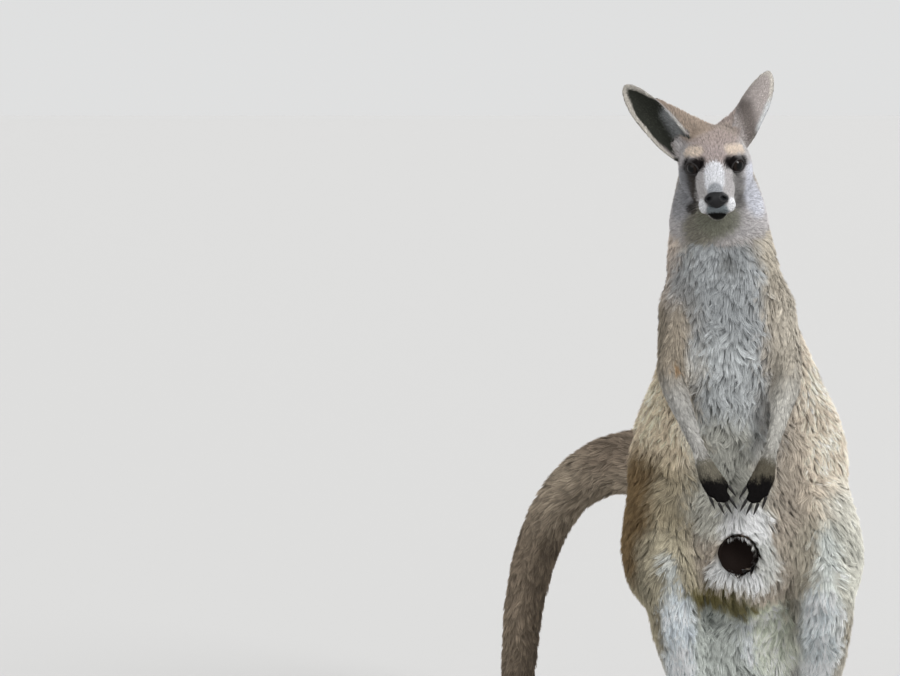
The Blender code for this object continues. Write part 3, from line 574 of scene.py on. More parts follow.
@dataclass(frozen=True)
class Markings:
    """The colours of skin and coat: a ground colour for each part, and the marks laid over it.

    A span runs from where a colour starts to show to where it shows in full.
    """

    # the left ear, upper arm and forearm are lighter than the right ones: painted light on the animal's
    # lit left side, painted shade on its right
    ground: tuple[tuple[str, Triple], ...] = (
        ("head", (0.46, 0.44, 0.44)),
        ("ear_right", (0.34, 0.3, 0.29)),
        ("ear_left", (0.47, 0.42, 0.4)),
        ("neck", (0.42, 0.37, 0.31)),
        ("trunk", (0.46, 0.4, 0.33)),
        ("upper_arm_right", (0.36, 0.31, 0.245)),
        ("upper_arm_left", (0.55, 0.5, 0.42)),
        ("forearm_right", (0.46, 0.45, 0.425)),
        ("forearm_left", (0.58, 0.565, 0.52)),
        ("hand_right", (0.17, 0.155, 0.12)),
        ("hand_left", (0.13, 0.115, 0.085)),
        ("thigh_right", (0.4, 0.355, 0.255)),
        ("thigh_left", (0.45, 0.41, 0.33)),
        ("shin", (0.47, 0.45, 0.4)),
        ("foot", (0.24, 0.19, 0.15)),
        ("tail_base", (0.38, 0.315, 0.24)),
        ("tail_middle", (0.27, 0.215, 0.16)),
        ("tail_end", (0.14, 0.11, 0.085)),
    )
    back_brown: Triple = (0.27, 0.21, 0.16)
    back_start: float = 0.1
    back_full: float = 0.65
    back_strength: float = 0.9
    neck_heights: Span = (0.9, 1.0)
    neck_shift: float = 0.25
    floor_heights: Span = (0.05, 0.12)
    front: Span = (0.45, -0.05)
    ear_hollow: Span = (0.2, 0.6)
    rim_strength: float = 0.9
    wrist_heights: Span = (0.58, 0.562)
    wrist_ripple: float = 0.0045
    wrist_wave: Ripple = Ripple(0.013, 5)
    face: tuple[Mark, ...] = (
        # back of the cheeks, where the head meets the neck
        Mark((-0.05, 0.095, -0.03), (0.05, 0.095, -0.03), 0.035, 0.04, (0.44, 0.395, 0.33), 0.9),
        # forehead and crown, beige-brown
        Mark((0.0, -0.012, 0.044), (0.0, 0.06, 0.06), 0.034, 0.02, (0.39, 0.33, 0.315)),
        Mark((0.0, 0.04, 0.062), (0.0, 0.11, 0.03), 0.04, 0.03, (0.36, 0.3, 0.275)),
        # folds that lead up to the ears
        Mark((-0.03, 0.05, 0.07), (-0.11, 0.05, 0.12), 0.034, 0.016, (0.36, 0.29, 0.235)),
        Mark((0.03, 0.055, 0.07), (0.09, 0.07, 0.125), 0.03, 0.016, (0.33, 0.28, 0.245)),
        # bridge of the muzzle, white
        Mark((-0.0015, -0.052, 0.003), (-0.002, -0.07, -0.008), 0.0145, 0.0065,
             (0.74, 0.75, 0.79), deep=0.8, high=0.8),
        # top of the nose in lighter grey, as painted light on the surface that faces up
        Mark((-0.002, -0.088, -0.01), (-0.002, -0.098, -0.016), 0.0115, 0.006,
             (0.33, 0.345, 0.37), 0.95),
        # bluish upper lip below the nose, its grey darkened as painted shade under the nose
        Mark((-0.007, -0.094, -0.048), (0.007, -0.094, -0.049), 0.008, 0.006,
             (0.22, 0.25, 0.265), wide=0.8, deep=0.6),
        # dark lower lip and chin
        Mark((-0.003, -0.09, -0.061), (0.003, -0.086, -0.0635), 0.006, 0.004,
             (0.008, 0.008, 0.007), wide=0.5, deep=0.6),
        # streak from the right eye down the cheek, the animal's own, made much the darker of the two by
        # painted shade
        Mark((-0.048, -0.012, -0.014), (-0.05, 0.0, -0.062), 0.012, 0.01,
             (0.045, 0.038, 0.033), 0.97, deep=0.5),
        # painted shade on the right side of the throat, under the jaw
        Mark((-0.03, -0.05, -0.095), (-0.03, 0.01, -0.11), 0.022, 0.02,
             (0.16, 0.15, 0.105), 0.8, deep=0.5),
        # painted shade on the right cheek, and painted light on the left one
        Mark((-0.06, 0.01, -0.03), (-0.058, 0.025, -0.085), 0.016, 0.018,
             (0.32, 0.325, 0.345), 0.8),
        Mark((0.062, 0.01, -0.03), (0.06, 0.03, -0.085), 0.016, 0.018, (0.66, 0.68, 0.76), 0.8),
        # foot of the right streak, painted darker as shade in the fold there, and the fainter streak on
        # the left cheek
        Mark((-0.04, -0.02, -0.068), (-0.044, 0.0, -0.076), 0.006, 0.006,
             (0.03, 0.026, 0.024), 0.9, deep=0.5),
        Mark((0.036, -0.028, -0.016), (0.039, -0.01, -0.072), 0.006, 0.01,
             (0.15, 0.145, 0.14), 0.85, deep=0.5),
    )
    face_pairs: tuple[Mark, ...] = (
        # cream brow
        Mark((0.026, -0.012, 0.0275), (0.052, 0.01, 0.023), 0.0058, 0.007, (0.68, 0.57, 0.47), 0.9),
        # white whisker pad
        Mark((0.0235, -0.086, -0.044), (0.029, -0.07, -0.05), 0.0095, 0.005, (0.84, 0.85, 0.88)),
        # dark patch round the eye, drawn out towards the nose: the animal's own, deepened by painted
        # shade under the brow
        Mark((0.0245, -0.028, 0.0085), (0.046, 0.0, 0.002), 0.0085, 0.008, (0.008, 0.006, 0.006)),
        # grey underside of the jaw, darkened as painted shade under the head
        Mark((0.0, -0.06, -0.085), (0.012, 0.02, -0.1), 0.02, 0.016, (0.21, 0.21, 0.165), 0.85),
        # edge of the lips
        Mark((0.004, -0.093, -0.0575), (0.02, -0.076, -0.0612), 0.0018, 0.0022,
             (0.012, 0.011, 0.011)),
        Mark((0.02, -0.076, -0.0612), (0.031, -0.04, -0.068), 0.0012, 0.003,
             (0.05, 0.045, 0.042), 0.9),
    )
    body: tuple[Mark, ...] = (
        # throat, darkened with painted shade under the head
        Mark((0.022, -0.33, 0.985), (0.042, -0.345, 0.955), 0.04, 0.04, (0.22, 0.21, 0.155), 0.9),
        Mark((0.0, -0.33, 1.03), (0.015, -0.33, 0.985), 0.02, 0.03,
             (0.16, 0.15, 0.105), 0.8, deep=0.5),
        # warm right side of the neck, and the warm left shoulder, made lighter with painted light on
        # the lit left side
        Mark((-0.03, -0.27, 0.985), (-0.035, -0.27, 0.9), 0.02, 0.03,
             (0.72, 0.61, 0.52), 0.9, deep=0.5),
        Mark((0.14, -0.27, 0.96), (0.165, -0.27, 0.88), 0.025, 0.035,
             (0.62, 0.56, 0.46), 0.9, deep=0.5),
        # brown rump over the root of the tail
        Mark((0.04, -0.02, 0.61), (-0.1, 0.08, 0.6), 0.06, 0.045, (0.29, 0.23, 0.175), 0.9),
        # grey chest and belly
        Mark((0.048, -0.35, 0.9), (0.052, -0.35, 0.64), 0.075, 0.035, (0.41, 0.43, 0.44), deep=0.6),
        Mark((0.05, -0.35, 0.76), (0.05, -0.35, 0.68), 0.05, 0.05,
             (0.55, 0.575, 0.58), 0.9, deep=0.6),
        Mark((0.052, -0.34, 0.6), (0.065, -0.34, 0.545), 0.06, 0.04,
             (0.47, 0.465, 0.41), 0.9, deep=0.6),
        # partings across the top of the chest and lower down, painted dark as the shade in them
        Mark((-0.01, -0.33, 0.936), (0.028, -0.33, 0.922), 0.003, 0.006, (0.1, 0.1, 0.095), 0.8),
        Mark((0.044, -0.33, 0.948), (0.092, -0.33, 0.938), 0.003, 0.0065, (0.12, 0.12, 0.11), 0.7),
        Mark((0.01, -0.33, 0.898), (0.052, -0.33, 0.906), 0.0025, 0.006, (0.14, 0.14, 0.135), 0.6),
        Mark((0.03, -0.33, 0.612), (0.078, -0.33, 0.604), 0.003, 0.008, (0.13, 0.13, 0.115), 0.6),
        # cream flanks, browner low on the right
        Mark((0.265, -0.23, 0.78), (0.29, -0.26, 0.56), 0.05, 0.06, (0.9, 0.77, 0.62), deep=0.5),
        Mark((-0.05, -0.23, 0.74), (-0.065, -0.24, 0.63), 0.05, 0.045,
             (0.88, 0.735, 0.54), deep=0.5),
        Mark((-0.06, -0.28, 0.56), (-0.055, -0.29, 0.5), 0.04, 0.045,
             (0.4, 0.345, 0.24), 0.9, deep=0.5),
        # brown outside of the right thigh, olive inside
        Mark((-0.105, -0.23, 0.56), (-0.11, -0.25, 0.44), 0.03, 0.055,
             (0.2, 0.133, 0.066), 0.95, deep=0.5),
        Mark((-0.05, -0.36, 0.45), (-0.05, -0.36, 0.4), 0.03, 0.035,
             (0.36, 0.325, 0.24), 0.8, deep=0.5),
        # pale outside of the left thigh
        Mark((0.29, -0.3, 0.52), (0.285, -0.33, 0.4), 0.03, 0.05,
             (0.64, 0.64, 0.57), 0.85, deep=0.5),
        # pouch: white above and round the rim
        Mark((0.098, -0.36, 0.5), (0.1, -0.36, 0.48), 0.026, 0.026,
             (0.82, 0.83, 0.83), 0.95, deep=0.5),
        Mark((0.13, -0.36, 0.45), (0.128, -0.36, 0.4), 0.018, 0.02,
             (0.68, 0.69, 0.66), 0.9, deep=0.5),
        Mark((0.046, -0.36, 0.405), (0.112, -0.36, 0.386), 0.012, 0.01, (0.98, 1.0, 1.0), deep=0.5),
        # lap: grey-white; painted shade in olive under the bulge of the pouch; pale inside the left
        # thigh, made paler still as painted light against the thigh's shadow; a bright crease
        Mark((0.085, -0.28, 0.265), (0.085, -0.23, 0.16), 0.085, 0.025,
             (0.58, 0.625, 0.59), 0.9, deep=0.3),
        Mark((0.02, -0.35, 0.364), (0.118, -0.33, 0.334), 0.014, 0.018,
             (0.14, 0.118, 0.04), 0.94, deep=0.5),
        Mark((0.152, -0.3, 0.312), (0.158, -0.28, 0.25), 0.026, 0.024,
             (0.9, 0.96, 0.78), 0.9, deep=0.4),
        Mark((0.11, -0.3, 0.318), (0.113, -0.23, 0.18), 0.003, 0.006,
             (0.72, 0.76, 0.8), 0.8, deep=0.2),
        # bright columns down the front of the shins, and a painted highlight along the outer edge of
        # the left one
        Mark((-0.028, -0.37, 0.43), (-0.024, -0.37, 0.36), 0.003, 0.02,
             (0.6, 0.65, 0.66), 0.75, deep=0.3),
        Mark((-0.02, -0.37, 0.35), (-0.008, -0.34, 0.18), 0.02, 0.026,
             (0.84, 0.92, 0.98), deep=0.3),
        Mark((0.241, -0.36, 0.47), (0.236, -0.37, 0.37), 0.006, 0.026,
             (0.78, 0.83, 0.8), 0.8, deep=0.3),
        Mark((0.224, -0.37, 0.35), (0.225, -0.34, 0.18), 0.022, 0.024,
             (0.88, 0.96, 0.99), deep=0.3),
        Mark((0.268, -0.36, 0.34), (0.262, -0.33, 0.18), 0.008, 0.008,
             (0.92, 0.96, 0.94), deep=0.4),
    )
    # inside of the pouch painted near black as painted shade in the hollow, on the skin alone
    hollow: Mark = Mark(
        (0.0848, -0.34, 0.43), (0.0848, -0.38, 0.43), 0.033, 0.002,
        (0.008, 0.005, 0.004), deep=0.3, high=1.08)
    on_arms: tuple[Mark, ...] = (
        # small rusty spot inside the right upper arm
        Mark((-0.017, -0.347, 0.764), (-0.017, -0.347, 0.76), 0.006, 0.007,
             (0.36, 0.21, 0.09), 0.7),
    )
    arms: tuple[str, ...] = ("upper_arm", "forearm", "hand")
    ear_inside: Triple = (0.036, 0.038, 0.031)
    ear_rim: Triple = (0.64, 0.6, 0.54)
    ear_openings: tuple[tuple[str, Triple], ...] = (
        ("ear_right", (-0.2, -1.0, -0.15)),
        ("ear_left", (0.3, 0.95, -0.55)),
    )
    ears: tuple[Mark, ...] = (
        # pale hair inside the right ear, low on its inner edge
        Mark((-0.036, -0.31, 1.19), (-0.018, -0.31, 1.16), 0.002, 0.018,
             (0.54, 0.56, 0.58), 0.62, deep=0.4),
        # dark brown low on the back of the left ear, and its bluish-white outer fringe
        Mark((0.1, -0.27, 1.205), (0.112, -0.27, 1.155), 0.005, 0.02,
             (0.12, 0.1, 0.09), 0.8, deep=0.3),
        Mark((0.146, -0.25, 1.205), (0.129, -0.26, 1.165), 0.003, 0.012,
             (0.8, 0.84, 0.88), 0.9, deep=0.3),
    )
    digit_black: Triple = (0.006, 0.005, 0.005)

    def base(self, node: str) -> Triple:
        """The ground colour of a part."""
        return next(colour for name, colour in self.ground if node.startswith(name))

    def over(self, skin: "Skin") -> Rows:
        """Lays all marks over the ground colours.

        Args:
            skin: The skin, with its ground colours already blended from part to part.

        Returns:
            One colour for each of the skin's points.
        """
        points, normals = skin.outer, skin.normals
        named = {name: skin.part == number for number, name in enumerate(skin.flesh)}
        ears = named["ear_left"] | named["ear_right"]
        start = self.back_start + self.neck_shift * ramp(points[:, 2], *self.neck_heights)
        backwards = ramp(normals[:, 1] - start, 0.0, self.back_full - self.back_start)
        backwards = np.where(ears, 0.0, backwards * ramp(points[:, 2], *self.floor_heights))
        colours = mixed(skin.ground, self.back_brown, backwards * self.back_strength)
        forwards = ramp(normals[:, 1], *self.front)
        forwards[named["head"] | ears] = 0.0
        hands = named["hand_right"] | named["hand_left"]
        edge = points[:, 2] + self.wrist_ripple * self.wrist_wave.at(points)
        paired = [mark for pair in self.face_pairs for mark in both_sides(pair)]
        colours = laid_over(colours, self.body, points, forwards * (1.0 - skin.arms))
        colours = laid_over(colours, self.on_arms, points, forwards)
        colours = laid_over(colours, [*self.face, *paired], HEAD.inwards(points), named["head"])
        for name, opening in self.ear_openings:
            inside = ramp(normals @ unit(np.array(opening)), *self.ear_hollow) * named[name]
            colours = mixed(colours, self.ear_inside, inside)
        colours = mixed(colours, self.ear_rim, skin.rims * self.rim_strength)
        colours = laid_over(colours, self.ears, points, ears)
        return mixed(colours, self.digit_black, ramp(edge, *self.wrist_heights) * hands)


# ---------------------------------------------------------------- skin


@dataclass
class Skin:
    """One closed skin over the whole animal, without seams, inside the coat.

    A fit says by what share a pelt's depth, length, width and density change where it is in full force.
    Its limits, in metres or in sizes of the eye or pouch, run from where it starts to where it is full.
    """

    name: str = "skin"
    voxel: float = 0.0026
    overlap: float = 0.0006
    smoothing: tuple[float, int] = (0.5, 10)
    last_smoothing: tuple[float, int] = (0.4, 3)
    coarse_share: float = 0.115
    fine_share: float = 0.75
    blend_rounds: int = 22
    fine_face: Triple = (0.062, 0.004, 0.075)
    fine_face_height: float = 0.97
    fine_face_roundness: float = 0.6
    muzzle_fit: Pelt = Pelt(-0.45, -0.55, -0.30, 0.50)
    muzzle_limits: Span = (-0.015, -0.075)
    crown_fit: Pelt = Pelt(0.30, 0.45, 0.25, -0.35)
    crown_limits: Span = (0.02, 0.09)
    eye_fit: Pelt = Pelt(0.0, -0.60, -0.25, 0.60)
    eye_limits: tuple[Span, Span] = ((2.6, 1.1), (2.0, 1.4))
    pouch_fit: Pelt = Pelt(0.0, -0.58, -0.25, 0.60)
    pouch_limits: tuple[Span, Span] = ((1.90, 1.15), (2.0, 1.5))
    rim_fit: Pelt = Pelt(0.0, 1.0, 0.0, 0.0)
    turn_from_eye: float = 1.3
    rim_turn: float = 0.7
    rim_reach: float = 0.0080
    rim_edge: Span = (0.66, 0.82)
    rim_share: Span = (0.24, 0.50)
    ridge: float = 0.0017
    lid_limits: tuple[Span, Span] = ((2.3, 1.45), (1.9, 1.35))
    behind_eye: float = 0.0030
    nose_room: float = 0.0120
    nose_limits: Span = (1.10, 0.55)
    # the skin is painted darker than the hair above it, as painted shade under the coat
    undercoat_shade: float = 0.55
    lie: Lie = field(default_factory=Lie)
    markings: Markings = field(default_factory=Markings)
    fine_parts: tuple[str, ...] = ("head", "ear", "hand", "foot")

    def __post_init__(self) -> None:
        """Lists the solids of flesh that the skin takes the place of."""
        self.flesh = sorted(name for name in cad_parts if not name.startswith(("claw", "eye")))

    def build(self) -> "Skin":
        """Makes the skin's shape and works out how the coat grows on it.

        Returns:
            The skin itself, with its piece in the scene.
        """
        mesh = self.refined(self.thinned(self.closed()))
        self.points = vertex_rows(mesh)
        self.part = self.nearest_part(self.points)
        self.spread(mesh)
        mesh = self.shrunk(mesh)
        self.colours = self.markings.over(self)
        # the inside of the pouch gets painted shade, near black, on the skin alone
        hollow = self.markings.hollow
        paint(mesh, mixed(self.colours * self.undercoat_shade, hollow.colour, hollow.cover(self.outer)))
        mesh.shade_smooth()
        self.piece = add_object(self.name, mesh)
        self.read_triangles(mesh)
        return self

    def closed(self) -> Mesh:
        """Joins the solids of flesh and eyes, each grown a little.

        Returns:
            One closed mesh of even small faces.
        """
        shape = bmesh.new()
        for node in [*self.flesh, *(f"eye_{side.value}" for side in Side)]:
            part = solid_of(node)
            part.normal_update()
            for vertex in part.verts:
                vertex.co += vertex.normal * self.overlap
            grown = as_mesh("grown", part)
            shape.from_mesh(grown)
            bpy.data.meshes.remove(grown)
        piece = add_object("flesh", as_mesh("flesh", shape))
        remesh = piece.modifiers.new("even", "REMESH")
        remesh.mode = "VOXEL"
        remesh.voxel_size = self.voxel
        add_smoothing(piece, *self.smoothing)
        return with_modifiers(piece)

    def thinned(self, mesh: Mesh) -> Mesh:
        """Keeps small faces on head, hands and feet, and fewer, larger ones elsewhere.

        Args:
            mesh: The closed mesh, which is used up.

        Returns:
            The thinned mesh.
        """
        piece = add_object("flesh", mesh)
        part = self.nearest_part(vertex_rows(mesh))
        fine = self.where([pelt_of(node) in self.fine_parts for node in self.flesh], part)
        group = piece.vertex_groups.new(name="coarse")
        group.add(np.flatnonzero(~fine).tolist(), 1.0, "REPLACE")
        decimate = piece.modifiers.new("thin", "DECIMATE")
        decimate.ratio = self.coarse_share + self.fine_share * float(fine.mean())
        decimate.vertex_group = group.name
        decimate.vertex_group_factor = 1.0
        return with_modifiers(piece)

    def refined(self, mesh: Mesh) -> Mesh:
        """Halves the faces of the muzzle and round the eyes.

        Args:
            mesh: The thinned mesh.

        Returns:
            The same mesh, in triangles.
        """
        local = HEAD.inwards(vertex_rows(mesh))
        half_width, behind, half_height = self.fine_face
        face = (local[:, 1] < behind) & (vertex_rows(mesh)[:, 2] > self.fine_face_height)
        face &= (np.abs(local[:, 2]) < half_height) & (np.abs(local[:, 0]) < half_width)
        shape = bmesh.new()
        shape.from_mesh(mesh)
        shape.verts.ensure_lookup_table()
        edges = [edge for edge in shape.edges if all(face[end.index] for end in edge.verts)]
        bmesh.ops.subdivide_edges(shape, edges=edges, cuts=1,
                                  smooth=self.fine_face_roundness, use_grid_fill=True)
        bmesh.ops.triangulate(shape, faces=shape.faces)
        shape.to_mesh(mesh)
        shape.free()
        return mesh

    def where(self, values: list, part: Rows | None = None) -> Rows:
        """Spreads one value for each solid of flesh over the points.

        Args:
            values: A value or a row for each solid, in the order of self.flesh.
            part: The number of each point's solid, or None for the skin's own.

        Returns:
            The value for each point.
        """
        return np.array(values)[self.part if part is None else part]

    def nearest_part(self, points: Rows) -> Rows:
        """Finds which solid of flesh each point belongs to.

        Args:
            points: The places.

        Returns:
            The solid's number in self.flesh for each point.
        """
        if not hasattr(self, "owner_tree"):
            corners: list[Vector] = []
            faces: list[list[int]] = []
            self.owners: list[int] = []
            for number, node in enumerate(self.flesh):
                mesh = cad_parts[node].data
                first = len(corners)
                corners.extend(vertex.co.copy() for vertex in mesh.vertices)
                faces.extend([first + i for i in face.vertices] for face in mesh.polygons)
                self.owners.extend([number] * len(mesh.polygons))
            self.owner_tree = BVHTree.FromPolygons(corners, faces)
        find = self.owner_tree.find_nearest
        return np.array([self.owners[find(row)[2]] for row in points.tolist()])

    def spread(self, mesh: Mesh) -> None:
        """Works out coat sizes, lie and ground colour at each vertex, eased from part to part.

        Args:
            mesh: The skin's mesh.
        """
        self.normals = normal_rows(mesh)
        sizes = self.where([astuple(PELTS[pelt_of(node)]) for node in self.flesh])
        ground = self.where([self.markings.base(node) for node in self.flesh])
        lies = along(self.lie.over(self.part, self.flesh, self.points), self.normals)
        arms = self.where([node.startswith(self.markings.arms) for node in self.flesh])
        rows = self.eased(mesh, np.hstack([sizes, ground, lies, arms[:, None]]))
        self.sizes, self.ground, self.lies, arms = np.split(rows, (4, 7, 10), axis=1)
        self.arms = arms[:, 0]
        self.fit_face()
        self.fit_ears()
        self.fit_pouch()
        self.lies = unit(self.lies)

    def eased(self, mesh: Mesh, rows: Rows) -> Rows:
        """Evens values out between neighbouring vertices.

        Args:
            mesh: The mesh whose edges join the neighbours.
            rows: The values of each vertex.

        Returns:
            The evened values.
        """
        ends = np.zeros(len(mesh.edges) * 2, np.int32)
        mesh.edges.foreach_get("vertices", ends)
        first = np.concatenate([ends[0::2], ends[1::2]])
        second = np.concatenate([ends[1::2], ends[0::2]])
        count = np.maximum(np.bincount(first, minlength=len(rows)), 1)
        rows = rows.copy()
        for _ in range(self.blend_rounds):
            for column in range(rows.shape[1]):
                near = np.bincount(first, rows[second, column], len(rows)) / count
                rows[:, column] = 0.5 * rows[:, column] + 0.5 * near
        return rows

    def fit(self, *fits: tuple[Pelt, Rows]) -> None:
        """Changes the sizes of the coat by fits, each with its share at each point."""
        self.sizes *= sum((share[:, None] * np.array(astuple(pelt)) for pelt, share in fits), 1.0)

    def fit_face(self) -> None:
        """Makes the coat shorter towards the nose and round the eyes, and longer on the crown."""
        local = HEAD.inwards(self.points)
        on_head = self.where([node == "head" for node in self.flesh])
        muzzle = ramp(local[:, 1], *self.muzzle_limits) * on_head
        crown = ramp(local[:, 1], *self.crown_limits) * on_head
        self.fit((self.muzzle_fit, muzzle), (self.crown_fit, crown))
        for side in Side:
            near = EYE.nearness(side, self.points, *self.eye_limits)
            self.fit((self.eye_fit, near))
            away = along(self.points - np.array(EYE.centre(side)), self.normals)
            self.lies = self.lies + away * (near * self.turn_from_eye)[:, None]

    def fit_ears(self) -> None:
        """Finds the rims of the ears, and makes their hair a longer fringe that points outwards."""
        self.rims = np.zeros(len(self.points))
        for name, _ in self.markings.ear_openings:
            here = np.flatnonzero(self.part == self.flesh.index(name))
            ear = self.points[here]
            low, high = ear.min(0) - self.rim_reach, ear.max(0) + self.rim_reach
            inside = np.flatnonzero(((self.points > low) & (self.points < high)).all(1))
            around = self.points[inside]
            tree = tree_of(around)
            near = [[hit[1] for hit in tree.find_range(row, self.rim_reach)] for row in ear.tolist()]
            outwards = ear - np.array([around[rows].mean(0) for rows in near])
            reach = np.linalg.norm(outwards, axis=1)
            edge = np.zeros(len(self.points))
            edge[here] = ramp(reach, *np.quantile(reach, self.rim_edge))
            rim = ramp(np.array([edge[inside[rows]].mean() for rows in near]), *self.rim_share)
            self.rims[here] = rim
            self.lies[here] += unit(outwards) * (self.rim_turn * rim)[:, None]
        self.fit((self.rim_fit, self.rims))

    def fit_pouch(self) -> None:
        """Makes the coat shorter round the mouth of the pouch, so that its edge shows."""
        rows = from_middle(POUCH, self.points)
        across, deep = self.pouch_limits
        near = ramp(np.linalg.norm(rows[:, [0, 2]], axis=1), *across) * ramp(np.abs(rows[:, 1]), *deep)
        self.fit((self.pouch_fit, near))

    def shrunk(self, mesh: Mesh) -> Mesh:
        """Draws the skin in by the depth of the coat, and makes room for eyes, nose and mouth.

        Args:
            mesh: The mesh at the coat's outside, which is used up.

        Returns:
            The finished mesh.
        """
        self.outer = self.points.copy()
        move_vertices(mesh, self.points - self.normals * self.sizes[:, :1])
        piece = add_object("flesh", mesh)
        add_smoothing(piece, *self.last_smoothing)
        mesh = with_modifiers(piece)
        places = self.with_mouth(self.with_nose_room(self.with_lids(vertex_rows(mesh))))
        move_vertices(mesh, places)
        self.points = places
        self.normals = normal_rows(mesh)
        self.lies = along(self.lies, self.normals)
        return mesh

    def with_lids(self, places: Rows) -> Rows:
        """Drapes the skin over each eyeball as lids, and takes it behind the ball inside the opening.

        Args:
            places: The skin's vertices.

        Returns:
            Their new places.
        """
        for side in Side:
            centre = np.array(EYE.centre(side))
            share, distance = EYE.seen_from(side, places)
            aim = np.where(share < 1.0, EYE.radius - self.behind_eye, EYE.radius + self.ridge)
            reach = distance + (aim - distance) * EYE.nearness(side, places, *self.lid_limits)
            places = centre + (places - centre) * (reach / distance)[:, None]
        return places

    def with_nose_room(self, places: Rows) -> Rows:
        """Takes the skin back behind the nose pad.

        Args:
            places: The skin's vertices.

        Returns:
            Their new places.
        """
        rows = from_middle(NOSE, HEAD.inwards(places))
        amount = ramp((rows ** 2).sum(1), *self.nose_limits) * self.nose_room
        return places + HEAD.outwards(np.array([[0.0, 1.0, 0.0]])) * amount[:, None]

    def with_mouth(self, places: Rows) -> Rows:
        """Presses the line of the mouth into the skin.

        Args:
            places: The skin's vertices.

        Returns:
            Their new places.
        """
        local = HEAD.inwards(places)
        amount = np.max([crease.cover(local) for crease in MOUTH], axis=0)
        return places - self.normals * amount[:, None]

    def read_triangles(self, mesh: Mesh) -> None:
        """Keeps the skin's triangles, their areas and a tree that finds the nearest place on them.

        Args:
            mesh: The finished mesh.
        """
        mesh.calc_loop_triangles()
        flat = np.zeros(len(mesh.loop_triangles) * 3, np.int32)
        mesh.loop_triangles.foreach_get("vertices", flat)
        self.triangles = flat.reshape(-1, 3)
        a, b, c = (self.points[self.triangles[:, i]] for i in range(3))
        self.areas = np.linalg.norm(np.cross(b - a, c - a), axis=1) / 2.0
        self.tree = BVHTree.FromPolygons(self.points.tolist(), self.triangles.tolist())

    def nearest(self, points: Rows) -> tuple[Rows, Rows]:
        """Finds the nearest place on the skin, and the smooth normal there.

        Args:
            points: The places to start from.

        Returns:
            The places on the skin and the normals there.
        """
        hits = [self.tree.find_nearest(row) for row in points.tolist()]
        places = np.array([hit[0][:] for hit in hits])
        faces = self.triangles[[hit[2] for hit in hits]]
        return places, unit(self.normals[faces].sum(1))


# ---------------------------------------------------------------- tufts


